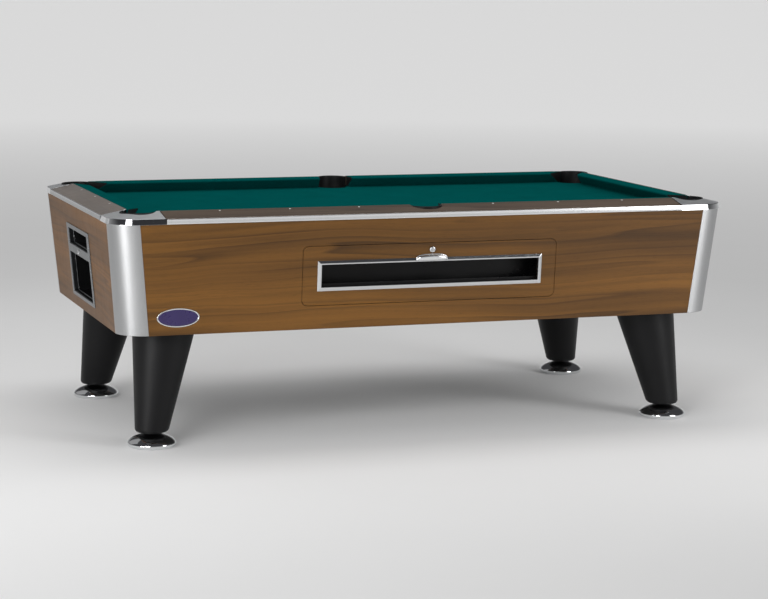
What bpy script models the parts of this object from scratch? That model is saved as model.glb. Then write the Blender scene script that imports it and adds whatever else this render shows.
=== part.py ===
"""A coin-operated pool table: a leaning wood cabinet with metal corner posts, a slate bed with six pockets,
a drop-down access door over the ball tray, and four splayed legs on levelling feet.

Metres, +Z up. X runs along the table, the door faces -Y, and the origin is on the floor under the middle.
"""

import math

import bmesh
import bpy
from mathutils import Matrix, Vector

# Fits: how far apart two touching pieces lie, and the running clearance round pins and stems
SEAT = 0.0003
RUNNING = 0.0003

# Playing area, cushion nose to cushion nose
BED_LENGTH = 1.980
BED_WIDTH = 0.990

# Rail and cushion, measured across the rail
RAIL_WIDTH = 0.0905
RAIL_RISE = 0.019
CUSHION_WIDTH = 0.052
CUSHION_FOOT = 0.014
NOSE_HEIGHT = 0.0365
NOSE_FLAT = 0.004
CORNER_FACING = math.radians(52)
SIDE_FACING = math.radians(9)
CORNER_CUT = 0.083
SIDE_MOUTH = 0.132
TRIM_HEIGHT = 0.018
TRIM_THICKNESS = 0.005
TRIM_EDGE = 0.001

# Corner castings: how far each runs past the end of its pocket's liner, along the table and across it
CASTING_PAST_LINER_LONG = 0.025
CASTING_PAST_LINER_SHORT = 0.013

# Pockets
CORNER_POCKET_RADIUS = 0.062
CORNER_POCKET_BACK = 0.025
CORNER_LINER_SPAN = math.radians(190)
SIDE_POCKET_RADIUS = 0.058
SIDE_POCKET_CLEAR = 0.0069
SIDE_LINER_BEHIND_CREST = 0.0035
LINER_WALL = 0.006
LINER_DROP = 0.003

# Slate, cloth and the beams that carry them
RAIL_OVER_CLOTH = 0.005
CLOTH_THICKNESS = 0.001
SLATE_THICKNESS = 0.022
SLATE_OVERLAP = 0.045
SIDE_NOTCH_SLOPE = math.radians(30)
BEAM_WIDTH = 0.045
BEAM_HEIGHT = 0.050
BEAM_OFFSET = 0.500

# Cabinet
CABINET_HEIGHT = 0.3794
PANEL_THICKNESS = 0.018
PANEL_INSET = 0.006
PANEL_LEAN = 0.035
POST_RADIUS = 0.095
POST_WALL = 0.005
POST_FLANGE = 0.004
FLOOR_THICKNESS = 0.020

# Legs and feet
LEG_BOTTOM = 0.055
LEG_HEIGHT = 0.345
LEG_TOP_RADIUS = 0.1095
LEG_BOTTOM_RADIUS = 0.0575
LEG_FILLET = 0.012
LEG_SPLAY = 0.058
FOOT_END_INSET = 0.170
FOOT_SIDE_INSET = 0.160
FOOT_RADIUS = 0.085
FOOT_BASE_RADIUS = 0.074
FOOT_RIM_HEIGHT = 0.013
FOOT_DOME_HEIGHT = 0.046
FOOT_NECK_RADIUS = 0.016
STEM_RADIUS = 0.008
STEM_GRIP = 0.060
STEM_ROOM = 0.004

# Access door in the front panel, whose top edge is measured down from the cabinet's
DOOR_WIDTH = 0.930
DOOR_DROP = 0.090
DOOR_CORNER = 0.020
DOOR_GAP = 0.0015
HINGE_ABOVE_CORNER = 0.0025
HINGE_DEPTH = 0.0045
PIN_RADIUS = 0.0025
PIN_LENGTH = 0.030
PIN_IN_DOOR = 0.018

# From the door's top edge down: the lock, the pull, the window in its frame and the strip below it
LOCK_DROP = 0.0225
PULL_BELOW_LOCK = 0.0045
WINDOW_WIDTH = 0.798
WINDOW_HEIGHT = 0.079
WINDOW_RISE = 0.0625
WINDOW_LAP = 0.004
FRAME_BORDER = 0.0135
FRAME_PROUD = 0.005
FRAME_CORNER = 0.004
PULL_WIDTH = 0.118
PULL_HEIGHT = 0.022
PULL_PROUD = 0.012
PULL_WALL = 0.0025
PULL_TIP = 0.005
PULL_OVERLAP = 0.009
LOCK_RADIUS = 0.011
LOCK_PROUD = 0.007
LOCK_SLEEVE_RADIUS = 0.0085
LOCK_BARREL_RADIUS = 0.0060
CAM_LENGTH = 0.034
CAM_WIDTH = 0.012
CAM_THICKNESS = 0.0025
CAM_CLEARANCE = 0.0015

# Ball tray behind the window and the runs that feed it
SHEET = 0.003
TRAY_DEPTH = 0.062
TRAY_STEP = 0.003
TRAY_LIP = 0.012
TRAY_BEHIND_DOOR = 0.004
TRAY_PAST_WINDOW = 0.020
TRAY_FOOT_WIDTH = 0.030
TRAY_FOOT_SETBACK = 0.015
RUN_INNER_WIDTH = 0.118
RUN_CLEAR_OF_PANEL = 0.017
RUN_DEPTH = 0.045
RUN_FALL = 0.030
RUN_START_INSET = 0.062
END_RUN_WIDTH = 0.124
END_RUN_CLEAR = 0.030
END_RUN_STEP = 0.026
END_RUN_FALL = 0.020
RUN_PASSING_GAP = 0.005

# Coin bezel in the left end, measured from the cabinet's top and bottom edges, with its two spaces
BEZEL_BORDER = 0.020
BEZEL_DROP = 0.075
BEZEL_RISE = 0.0404
BEZEL_PROUD = 0.004
BEZEL_CORNER = 0.005
BEZEL_LAP = 0.006
COIN_WIDTH = 0.330
COIN_HEIGHT = 0.057
COIN_DROP = 0.016
CASH_WIDTH = 0.350
CASH_BELOW_COIN = 0.030
CASH_RISE = 0.014
RECESS_DEPTH = 0.150
RECESS_WALL = 0.003
END_LOCK_RADIUS = 0.009
END_LOCK_PROUD = 0.006
END_LOCK_LENGTH = 0.030

# Blank oval plate on the front panel, measured from the cabinet's lower edge and the square corner
BADGE_WIDTH = 0.147
BADGE_HEIGHT = 0.066
BADGE_RISE = 0.060
BADGE_FROM_CORNER = 0.235
BADGE_THICKNESS = 0.002

# How finely curves are divided, and how far a cutter runs past what it cuts
ARC_STEPS = 10
WIDE_ARC_STEPS = 20
CORNER_STEPS = 6
SMALL_CORNER_STEPS = 3
EDGE_STEPS = 5
RIM_STEPS = 2
PIN_STEPS = 12
ROUND_STEPS = 24
LEG_STEPS = 32
WIDE_ROUND_STEPS = 48
PAST = 0.030

# Edges sharper than this stay crisp, and points closer than this are one
CRISP_ANGLE = math.radians(35)
WELD = 1e-6

# Heights that follow from the sizes above, from the floor up
CABINET_BOTTOM = LEG_BOTTOM + LEG_HEIGHT + SEAT
CABINET_TOP = CABINET_BOTTOM + CABINET_HEIGHT
RAIL_BOTTOM = CABINET_TOP + SEAT
TRIM_TOP = RAIL_BOTTOM + TRIM_HEIGHT
CREST = TRIM_TOP + RAIL_RISE
CLOTH_TOP = RAIL_BOTTOM - RAIL_OVER_CLOTH
SLATE_TOP = CLOTH_TOP - CLOTH_THICKNESS - SEAT
SLATE_BOTTOM = SLATE_TOP - SLATE_THICKNESS
BEAM_TOP = SLATE_BOTTOM - SEAT
BEAM_BOTTOM = BEAM_TOP - BEAM_HEIGHT
RUN_TOP = BEAM_BOTTOM - SEAT
RUN_LOW = RUN_TOP - RUN_DEPTH - RUN_FALL
FLOOR_TOP = CABINET_BOTTOM + FLOOR_THICKNESS
DOOR_TOP = CABINET_TOP - DOOR_DROP
LOCK_MIDDLE = DOOR_TOP - LOCK_DROP
PULL_TOP = LOCK_MIDDLE - LOCK_RADIUS - PULL_BELOW_LOCK
PULL_BOTTOM = PULL_TOP - PULL_HEIGHT
WINDOW_TOP = PULL_BOTTOM + PULL_OVERLAP - FRAME_BORDER
WINDOW_BOTTOM = WINDOW_TOP - WINDOW_HEIGHT
DOOR_BOTTOM = WINDOW_BOTTOM - WINDOW_RISE
TRAY_FLOOR = WINDOW_BOTTOM - TRAY_STEP
BEZEL_TOP = CABINET_TOP - BEZEL_DROP
BEZEL_BOTTOM = CABINET_BOTTOM + BEZEL_RISE
COIN_TOP = BEZEL_TOP - COIN_DROP
COIN_BOTTOM = COIN_TOP - COIN_HEIGHT
CASH_TOP = COIN_BOTTOM - CASH_BELOW_COIN
CASH_BOTTOM = BEZEL_BOTTOM + CASH_RISE
BEZEL_WIDTH = max(COIN_WIDTH, CASH_WIDTH) + 2 * BEZEL_BORDER

# Half sizes of the table, to the trim's outer face, and of the line where wood meets cushion
HALF_LENGTH = BED_LENGTH / 2 + CUSHION_WIDTH + RAIL_WIDTH
HALF_WIDTH = BED_WIDTH / 2 + CUSHION_WIDTH + RAIL_WIDTH
CREST_X = HALF_LENGTH - RAIL_WIDTH
CREST_Y = HALF_WIDTH - RAIL_WIDTH
FOOT_X = HALF_LENGTH - FOOT_END_INSET
FOOT_Y = HALF_WIDTH - FOOT_SIDE_INSET
CASTING_RADIUS = POST_RADIUS + PANEL_INSET
CORNER_POCKET_X = BED_LENGTH / 2 + CORNER_POCKET_BACK
CORNER_POCKET_Y = BED_WIDTH / 2 + CORNER_POCKET_BACK
CORNER_LINER_REACH = CORNER_POCKET_RADIUS * math.sin(CORNER_LINER_SPAN / 2 - math.pi / 4)
CASTING_END_X = CORNER_POCKET_X - CORNER_LINER_REACH - CASTING_PAST_LINER_LONG
CASTING_END_Y = CORNER_POCKET_Y - CORNER_LINER_REACH - CASTING_PAST_LINER_SHORT
LEAN_ANGLE = math.atan(PANEL_LEAN / CABINET_HEIGHT)

# Each side of the cabinet is drawn as the front is, then turned about the middle of the table
FRONT = (HALF_WIDTH, 0.0)
BACK = (HALF_WIDTH, math.pi)
LEFT = (HALF_LENGTH, -math.pi / 2)
RIGHT = (HALF_LENGTH, math.pi / 2)
CORNERS = {
    "front_left": (-1, -1),
    "front_right": (1, -1),
    "back_left": (-1, 1),
    "back_right": (1, 1),
}


def make_material(name, colour, roughness, metallic):
    """A plain Principled material in one colour."""
    material = bpy.data.materials.new(name)
    material.use_nodes = True
    shader = material.node_tree.nodes["Principled BSDF"]
    shader.inputs["Base Color"].default_value = (*colour, 1.0)
    shader.inputs["Roughness"].default_value = roughness
    shader.inputs["Metallic"].default_value = metallic
    return material


def make_materials():
    return {
        "wood": make_material("wood_laminate", (0.21, 0.105, 0.035), 0.45, 0.0),
        "rail": make_material("rail_laminate", (0.14, 0.105, 0.075), 0.35, 0.0),
        "alloy": make_material("satin_alloy", (0.62, 0.64, 0.66), 0.32, 1.0),
        "casting": make_material("cast_metal", (0.36, 0.38, 0.39), 0.38, 1.0),
        "chrome": make_material("chrome", (0.75, 0.76, 0.77), 0.08, 1.0),
        "cloth": make_material("green_cloth", (0.0, 0.09, 0.085), 0.95, 0.0),
        "slate": make_material("slate", (0.08, 0.085, 0.09), 0.8, 0.0),
        "rubber": make_material("black_rubber", (0.012, 0.012, 0.013), 0.6, 0.0),
        "black": make_material("black_lacquer", (0.012, 0.012, 0.013), 0.4, 0.0),
        "board": make_material("plain_board", (0.30, 0.21, 0.13), 0.7, 0.0),
        "steel": make_material("steel", (0.45, 0.46, 0.47), 0.35, 1.0),
    }


def new_object(name, bm, material=None, turn=0.0):
    """An object from the bmesh, with its faces pointing out, turned about the table's middle."""
    bmesh.ops.recalc_face_normals(bm, faces=bm.faces)
    mesh = bpy.data.meshes.new(name)
    bm.to_mesh(mesh)
    bm.free()
    mesh.shade_smooth()
    mesh.set_sharp_from_angle(angle=CRISP_ANGLE)
    obj = bpy.data.objects.new(name, mesh)
    obj.rotation_euler = (0.0, 0.0, turn)
    bpy.context.scene.collection.objects.link(obj)
    if material:
        mesh.materials.append(material)
    return obj


def loft(rings):
    """A closed skin over rings of points, capped at both ends."""
    bm = bmesh.new()
    rows = [[bm.verts.new(point) for point in ring] for ring in rings]
    count = len(rows[0])
    for low, high in zip(rows, rows[1:]):
        for i in range(count):
            j = (i + 1) % count
            bm.faces.new((low[i], low[j], high[j], high[i]))
    bm.faces.new(rows[0])
    bm.faces.new(rows[-1])
    return bm


def turned(profile, steps=ROUND_STEPS):
    """A solid turned about local Z from (radius, height) points that start and end on the axis."""
    bm = bmesh.new()
    points = [bm.verts.new((radius, 0.0, height)) for radius, height in profile]
    edges = [bm.edges.new(pair) for pair in zip(points, points[1:])]
    bmesh.ops.spin(
        bm, geom=points + edges, cent=(0, 0, 0), axis=(0, 0, 1), angle=math.tau, steps=steps, use_merge=True
    )
    bmesh.ops.remove_doubles(bm, verts=bm.verts, dist=WELD)
    return bm


def box(low, high):
    """A block between two opposite corners."""
    (x0, y0, z0), (x1, y1, z1) = low, high
    outline = ((x0, y0), (x1, y0), (x1, y1), (x0, y1))
    return loft([[(x, y, z) for x, y in outline] for z in (z0, z1)])


def upright(outline, low, high):
    """A prism that stands on a plan outline."""
    return loft([[(x, y, z) for x, y in outline] for z in (low, high)])


def circle(centre, radius, steps=ROUND_STEPS):
    x, y = centre
    angles = [math.tau * i / steps for i in range(steps)]
    return [(x + radius * math.cos(a), y + radius * math.sin(a)) for a in angles]


def arc(centre, radius, start, end, steps=ARC_STEPS):
    x, y = centre
    angles = [start + (end - start) * i / steps for i in range(steps + 1)]
    return [(x + radius * math.cos(a), y + radius * math.sin(a)) for a in angles]


def rounded(low, high, radius, steps=CORNER_STEPS):
    """A rectangle between two corners, with round corners."""
    x0, y0 = (value + radius for value in low)
    x1, y1 = (value - radius for value in high)
    points = []
    for i, centre in enumerate(((x1, y1), (x0, y1), (x0, y0), (x1, y0))):
        points += arc(centre, radius, i * math.pi / 2, (i + 1) * math.pi / 2, steps)
    return points


def make_cutter(obj):
    obj.hide_render = True
    obj.display_type = "WIRE"
    return obj


def combine(obj, other, operation):
    """Adds a Boolean that cuts or joins obj with other, which is kept as a hidden helper."""
    modifier = obj.modifiers.new(f"{operation.lower()}_{other.name}", "BOOLEAN")
    modifier.operation = operation
    modifier.object = make_cutter(other)
    return obj


def cut(obj, other):
    return combine(obj, other, "DIFFERENCE")


def join(obj, other):
    return combine(obj, other, "UNION")


def hang_on(pivot, *pieces):
    """Parents pieces to an empty, leaving them where they are."""
    for piece in pieces:
        piece.parent = pivot
        piece.matrix_parent_inverse = Matrix.Translation(-pivot.location)


def face_inset(z):
    """How far the cabinet's outer face lies inside the trim's outer face at a height."""
    return PANEL_INSET + PANEL_LEAN * (CABINET_TOP - z) / CABINET_HEIGHT


def face_point(half, u, z, depth):
    """A point on a side drawn as the front is: u along it, depth behind its leaning outer face."""
    return (u, -(half - face_inset(z)) + depth, z)


def slab(half, outline, front, back):
    """A sheet that follows the leaning face, between two depths behind it."""
    return loft([[face_point(half, u, z, depth) for u, z in outline] for depth in (front, back)])


def through(name, side, outline, front=-PAST, back=PANEL_THICKNESS + PAST):
    """A cutter through a leaning side."""
    half, turn = side
    return new_object(name, slab(half, outline, front, back), turn=turn)


def square_to_face(side, u, z):
    """A frame on the leaning face whose local +Z points straight out of it."""
    half, turn = side
    spin = Matrix.Rotation(turn, 4, "Z") @ Matrix.Translation(face_point(half, u, z, 0.0))
    return spin @ Matrix.Rotation(LEAN_ANGLE, 4, "X") @ Matrix.Rotation(math.pi / 2, 4, "X")


def panel(name, side, material):
    """One leaning side board, between two corner posts."""
    half, turn = side
    along = HALF_LENGTH if half == HALF_WIDTH else HALF_WIDTH
    rings = []
    for z in (CABINET_BOTTOM, CABINET_TOP):
        reach = along - face_inset(z) - POST_RADIUS - SEAT
        rings.append(
            [
                face_point(half, -reach, z, 0.0),
                face_point(half, reach, z, 0.0),
                face_point(half, reach, z, PANEL_THICKNESS),
                face_point(half, -reach, z, PANEL_THICKNESS),
            ]
        )
    return new_object(name, loft(rings), material, turn)


def corner_post(name, signs, material):
    """A rounded metal post, with a flange at each edge for the end of a board."""
    sx, sy = signs
    rings = []
    for z in (CABINET_BOTTOM, CABINET_TOP):
        cx = HALF_LENGTH - face_inset(z) - POST_RADIUS
        cy = HALF_WIDTH - face_inset(z) - POST_RADIUS
        inner = POST_RADIUS - POST_WALL
        back = POST_RADIUS - PANEL_THICKNESS
        turn_in = math.asin(POST_FLANGE / inner)
        outline = arc((cx, cy), POST_RADIUS, 0.0, math.pi / 2)
        outline += [(cx, cy + back), (cx + POST_FLANGE, cy + back)]
        outline += arc((cx, cy), inner, math.pi / 2 - turn_in, turn_in)
        outline += [(cx + back, cy + POST_FLANGE), (cx + back, cy)]
        rings.append([(sx * x, sy * y, z) for x, y in outline])
    return new_object(name, loft(rings), material)


def cabinet_floor(material):
    """The bottom board, inside the panels, with its corners cut clear of the posts."""
    x = HALF_LENGTH - face_inset(CABINET_BOTTOM) - PANEL_THICKNESS - SEAT
    y = HALF_WIDTH - face_inset(CABINET_BOTTOM) - PANEL_THICKNESS - SEAT
    c = POST_RADIUS
    outline = [(x, y - c), (x - c, y), (c - x, y), (-x, y - c)]
    outline += [(-x, c - y), (c - x, -y), (x - c, -y), (x, c - y)]
    return new_object("cabinet_floor", upright(outline, CABINET_BOTTOM, FLOOR_TOP), material)


def side_pocket_y():
    """How far a side pocket's centre lies from the table's middle line, clear of the panel behind it."""
    panel_back = HALF_WIDTH - face_inset(SLATE_BOTTOM) - PANEL_THICKNESS
    return panel_back - SIDE_POCKET_CLEAR - SIDE_POCKET_RADIUS


def pocket_places():
    """(name, centre, radius, outward angle, liner span) of each pocket."""
    places = []
    for name, (sx, sy) in CORNERS.items():
        centre = (sx * CORNER_POCKET_X, sy * CORNER_POCKET_Y)
        places.append((name, centre, CORNER_POCKET_RADIUS, math.atan2(sy, sx), CORNER_LINER_SPAN))
    side = side_pocket_y()
    behind = CREST_Y + SIDE_LINER_BEHIND_CREST - side
    span = 2 * math.acos(behind / (SIDE_POCKET_RADIUS - LINER_WALL))
    places.append(("front_side", (0.0, -side), SIDE_POCKET_RADIUS, -math.pi / 2, span))
    places.append(("back_side", (0.0, side), SIDE_POCKET_RADIUS, math.pi / 2, span))
    return places


def pocket_cutters():
    """An upright cylinder for each pocket, as wide as its liner outside."""
    cutters = {}
    for name, centre, radius, _, _ in pocket_places():
        shape = upright(circle(centre, radius + SEAT, WIDE_ROUND_STEPS), BEAM_BOTTOM, CREST + PAST)
        cutters[name] = make_cutter(new_object(f"cut_pocket_{name}", shape))
    return cutters


def pocket_liners(material):
    """Curved rubber walls behind each pocket, from the rail's top down through the slate."""
    for name, centre, radius, outward, span in pocket_places():
        first, last = outward - span / 2, outward + span / 2
        outline = arc(centre, radius, first, last, WIDE_ARC_STEPS)
        outline += arc(centre, radius - LINER_WALL, last, first, WIDE_ARC_STEPS)
        new_object(f"pocket_liner_{name}", upright(outline, SLATE_BOTTOM, CREST - LINER_DROP), material)


def bed_outline():
    """The slate's outline: its corners cut off at the pockets, and a wide notch at each side pocket."""
    x = CREST_X + SLATE_OVERLAP
    y = CREST_Y + SLATE_OVERLAP
    diagonal = CORNER_POCKET_X + CORNER_POCKET_Y - math.sqrt(2) * (CORNER_POCKET_RADIUS + SEAT)
    deepest = side_pocket_y() - (SIDE_POCKET_RADIUS + SEAT) / math.cos(SIDE_NOTCH_SLOPE)
    widest = (y - deepest) / math.tan(SIDE_NOTCH_SLOPE)
    quarter = [(x, diagonal - x), (diagonal - y, y), (widest, y)]
    half = quarter + [(0.0, deepest)] + [(-px, py) for px, py in reversed(quarter)]
    return half + [(-px, -py) for px, py in half]


def slate_and_cloth(materials):
    outline = bed_outline()
    new_object("slate_bed", upright(outline, SLATE_BOTTOM, SLATE_TOP), materials["slate"])
    new_object("bed_cloth", upright(outline, SLATE_TOP + SEAT, CLOTH_TOP), materials["cloth"])


def slate_beams(material):
    """Two cross beams between the long panels, which carry the slate and hold the ball runs."""
    reach = HALF_WIDTH - face_inset(BEAM_BOTTOM) - PANEL_THICKNESS - SEAT
    for name, x in (("left", -BEAM_OFFSET), ("right", BEAM_OFFSET)):
        low = (x - BEAM_WIDTH / 2, -reach, BEAM_BOTTOM)
        high = (x + BEAM_WIDTH / 2, reach, BEAM_TOP)
        new_object(f"slate_beam_{name}", box(low, high), material)


def rail_top(across):
    """Height of the sloping rail top, at a distance in from the trim's outer face."""
    return TRIM_TOP + RAIL_RISE * across / RAIL_WIDTH


def side_bar(side, section, reach):
    """A straight bar along a side, from a section of (distance in from the trim, height) points."""
    half, _ = side
    return loft([[(u, -(half - across), z) for across, z in section] for u in (-reach, reach)])


def rails_and_trim(materials, cutters):
    outer = TRIM_THICKNESS + SEAT
    rail = [(outer, RAIL_BOTTOM), (RAIL_WIDTH, RAIL_BOTTOM), (RAIL_WIDTH, CREST), (outer, rail_top(outer))]
    e = TRIM_EDGE
    trim = [
        (0.0, RAIL_BOTTOM + e),
        (e, RAIL_BOTTOM),
        (TRIM_THICKNESS, RAIL_BOTTOM),
        (TRIM_THICKNESS, TRIM_TOP),
        (e, TRIM_TOP),
        (0.0, TRIM_TOP - e),
    ]
    long_reach = CASTING_END_X - SEAT
    short_reach = CASTING_END_Y - SEAT
    for name, side, reach in (
        ("front", FRONT, long_reach),
        ("back", BACK, long_reach),
        ("left", LEFT, short_reach),
        ("right", RIGHT, short_reach),
    ):
        board = new_object(f"rail_{name}", side_bar(side, rail, reach), materials["rail"], side[1])
        new_object(f"trim_{name}", side_bar(side, trim, reach), materials["alloy"], side[1])
        if f"{name}_side" in cutters:
            cut(board, cutters[f"{name}_side"])


def cushion(name, side, ends, material):
    """A cushion from its nose line back to the rail. Each end is (place along the nose, facing angle)."""
    half, turn = side
    back = RAIL_WIDTH + SEAT
    nose = RAIL_WIDTH + CUSHION_WIDTH
    low = CLOTH_TOP + SEAT
    nose_middle = CLOTH_TOP + NOSE_HEIGHT
    section = [
        (back, low),
        (back + CUSHION_FOOT, low),
        (nose, nose_middle - NOSE_FLAT / 2),
        (nose, nose_middle + NOSE_FLAT / 2),
        (back, CREST),
    ]
    rings = []
    for sign, (place, facing) in zip((-1, 1), ends):
        slope = sign * math.tan(facing)
        rings.append([(place + (nose - across) * slope, -(half - across), z) for across, z in section])
    new_object(name, loft(rings), material, turn)


def cushions(material):
    corner_x = BED_LENGTH / 2 - CORNER_CUT
    corner_y = BED_WIDTH / 2 - CORNER_CUT
    side_x = SIDE_MOUTH / 2
    left_half = ((-corner_x, CORNER_FACING), (-side_x, SIDE_FACING))
    right_half = ((side_x, SIDE_FACING), (corner_x, CORNER_FACING))
    whole_end = ((-corner_y, CORNER_FACING), (corner_y, CORNER_FACING))
    cushion("cushion_front_left", FRONT, left_half, material)
    cushion("cushion_front_right", FRONT, right_half, material)
    cushion("cushion_back_right", BACK, left_half, material)
    cushion("cushion_back_left", BACK, right_half, material)
    cushion("cushion_left_end", LEFT, whole_end, material)
    cushion("cushion_right_end", RIGHT, whole_end, material)


def castings(material, cutters):
    """Metal corner plates, as high as the rails beside them, hollowed for the pockets."""
    radius = CASTING_RADIUS
    for name, (sx, sy) in CORNERS.items():
        outer = [(CASTING_END_X, HALF_WIDTH)]
        outer += arc((HALF_LENGTH - radius, HALF_WIDTH - radius), radius, math.pi / 2, 0.0)
        outer += [(HALF_LENGTH, CASTING_END_Y)]
        inner = [(CREST_X, CREST_Y)] * len(outer)
        inner[0] = (CASTING_END_X, CREST_Y)
        inner[-1] = (CREST_X, CASTING_END_Y)
        rings = []
        for (ox, oy), (ix, iy) in zip(outer, inner):
            section = ((ox, oy, RAIL_BOTTOM), (ix, iy, RAIL_BOTTOM), (ix, iy, CREST), (ox, oy, TRIM_TOP))
            rings.append([(sx * x, sy * y, z) for x, y, z in section])
        shape = loft(rings)
        bmesh.ops.remove_doubles(shape, verts=shape.verts, dist=WELD)
        cut(new_object(f"corner_casting_{name}", shape, material), cutters[name])


def leg(name, signs, material):
    """A round leg that narrows and splays to the foot, with a soft lower edge and a bore for the stem."""
    sx, sy = signs
    levels = [(LEG_BOTTOM + LEG_HEIGHT, 0.0)]
    for i in range(EDGE_STEPS + 1):
        angle = i * math.pi / 2 / EDGE_STEPS
        levels.append((LEG_BOTTOM + LEG_FILLET * (1 - math.sin(angle)), LEG_FILLET * (1 - math.cos(angle))))
    rings = []
    for z, shrink in levels:
        share = (z - LEG_BOTTOM) / LEG_HEIGHT
        radius = LEG_BOTTOM_RADIUS + (LEG_TOP_RADIUS - LEG_BOTTOM_RADIUS) * share - shrink
        centre = (sx * (FOOT_X - LEG_SPLAY * share), sy * (FOOT_Y - LEG_SPLAY * share))
        rings.append([(x, y, z) for x, y in circle(centre, radius, LEG_STEPS)])
    obj = new_object(f"leg_{name}", loft(rings), material)
    bore = circle((sx * FOOT_X, sy * FOOT_Y), STEM_RADIUS + RUNNING)
    top = LEG_BOTTOM + STEM_GRIP + STEM_ROOM
    cut(obj, new_object(f"cut_bore_{name}", upright(bore, LEG_BOTTOM - PAST, top)))


def foot(name, signs, material):
    """A domed levelling foot with its stem, which slides up into the leg."""
    sx, sy = signs
    rise = FOOT_DOME_HEIGHT - FOOT_RIM_HEIGHT
    profile = [(0.0, 0.0), (FOOT_BASE_RADIUS, 0.0)]
    for i in range(1, RIM_STEPS + 1):
        angle = (i / RIM_STEPS - 1) * math.pi / 2
        radius = FOOT_BASE_RADIUS + (FOOT_RADIUS - FOOT_BASE_RADIUS) * math.cos(angle)
        profile.append((radius, FOOT_RIM_HEIGHT * (1 + math.sin(angle))))
    for i in range(1, ARC_STEPS):
        angle = i * math.pi / 2 / ARC_STEPS
        radius = FOOT_NECK_RADIUS + (FOOT_RADIUS - FOOT_NECK_RADIUS) * math.cos(angle)
        profile.append((radius, FOOT_RIM_HEIGHT + rise * math.sin(angle)))
    top = LEG_BOTTOM + STEM_GRIP
    profile += [(FOOT_NECK_RADIUS, FOOT_DOME_HEIGHT), (STEM_RADIUS, FOOT_DOME_HEIGHT)]
    profile += [(STEM_RADIUS, top), (0.0, top)]
    obj = new_object(f"foot_{name}", turned(profile), material)
    obj.location = (sx * FOOT_X, sy * FOOT_Y, 0.0)


def door_outline(gap):
    """The door's outline, grown by a gap for the opening that it fills."""
    u = DOOR_WIDTH / 2 + gap
    return rounded((-u, DOOR_BOTTOM - gap), (u, DOOR_TOP + gap), DOOR_CORNER + gap)


def window_outline(border):
    """The window's outline, grown by a border."""
    u = WINDOW_WIDTH / 2 + border
    low, high = WINDOW_BOTTOM - border, WINDOW_TOP + border
    return rounded((-u, low), (u, high), FRAME_CORNER + border, SMALL_CORNER_STEPS)


def hinge_point():
    """The middle of the hinge line, just above the door's round lower corners."""
    return Vector(face_point(HALF_WIDTH, 0.0, DOOR_BOTTOM + DOOR_CORNER + HINGE_ABOVE_CORNER, HINGE_DEPTH))


def access_door(materials, front_panel):
    """The door, let into the front panel, with its frame, pull, lock and hinge pins."""
    cut(front_panel, through("cut_door_opening", FRONT, door_outline(DOOR_GAP)))
    door = slab(HALF_WIDTH, door_outline(0.0), 0.0, PANEL_THICKNESS)
    door = new_object("access_door", door, materials["wood"])
    cut(door, through("cut_window", FRONT, window_outline(WINDOW_LAP)))
    frame = slab(HALF_WIDTH, window_outline(FRAME_BORDER), -FRAME_PROUD, -SEAT)
    frame = new_object("window_frame", frame, materials["alloy"])
    cut(frame, through("cut_frame_opening", FRONT, window_outline(0.0)))
    hinge_pins(materials["steel"], door, front_panel)
    pull = door_pull(materials["chrome"])
    pivot = bpy.data.objects.new("door_hinge", None)
    pivot.location = hinge_point()
    bpy.context.scene.collection.objects.link(pivot)
    hang_on(pivot, door, frame, pull, *door_lock(materials["chrome"], door))


def hinge_pins(material, door, front_panel):
    """Two short pins on the hinge line, each half in the panel and half in the door."""
    for name, sign in (("left", -1), ("right", 1)):
        inner = hinge_point() + Vector((sign * (DOOR_WIDTH / 2 - PIN_IN_DOOR), 0, 0))
        lie_along = Matrix.Translation(inner) @ Matrix.Rotation(sign * math.pi / 2, 4, "Y")
        ends = {"pin": (PIN_RADIUS, 0.0), "bore": (PIN_RADIUS + RUNNING, SEAT)}
        shapes = {}
        for kind, (radius, longer) in ends.items():
            shape = upright(circle((0, 0), radius, PIN_STEPS), -longer, PIN_LENGTH + longer)
            shape.transform(lie_along)
            shapes[kind] = shape
        new_object(f"hinge_pin_{name}", shapes["pin"], material)
        bore = new_object(f"cut_pin_{name}", shapes["bore"])
        cut(door, bore)
        cut(front_panel, bore)


def door_pull(material):
    """A half-moon cup, open below, for the fingers. Its lower part lies over the window frame."""
    front = -FRAME_PROUD - PULL_PROUD

    def moon(width, height):
        """The upper part of a circle that is this wide and high."""
        radius = (width**2 / 4 + height**2) / (2 * height)
        start = math.atan2(radius - height, width / 2)
        return arc((0.0, PULL_BOTTOM + height - radius), radius, start, math.pi - start, WIDE_ARC_STEPS)

    cup = slab(HALF_WIDTH, moon(PULL_WIDTH, PULL_HEIGHT), front, -SEAT)
    pull = new_object("door_pull", cup, material)
    inside = moon(PULL_WIDTH - 2 * PULL_TIP, PULL_HEIGHT - PULL_WALL)
    below = PULL_BOTTOM - PAST
    inside = [(inside[0][0], below)] + inside + [(inside[-1][0], below)]
    cut(pull, through("cut_pull_inside", FRONT, inside, front + PULL_WALL, -SEAT - PULL_WALL))
    over_frame = window_outline(FRAME_BORDER + SEAT)
    return cut(pull, through("cut_pull_over_frame", FRONT, over_frame, -FRAME_PROUD - SEAT))


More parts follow.
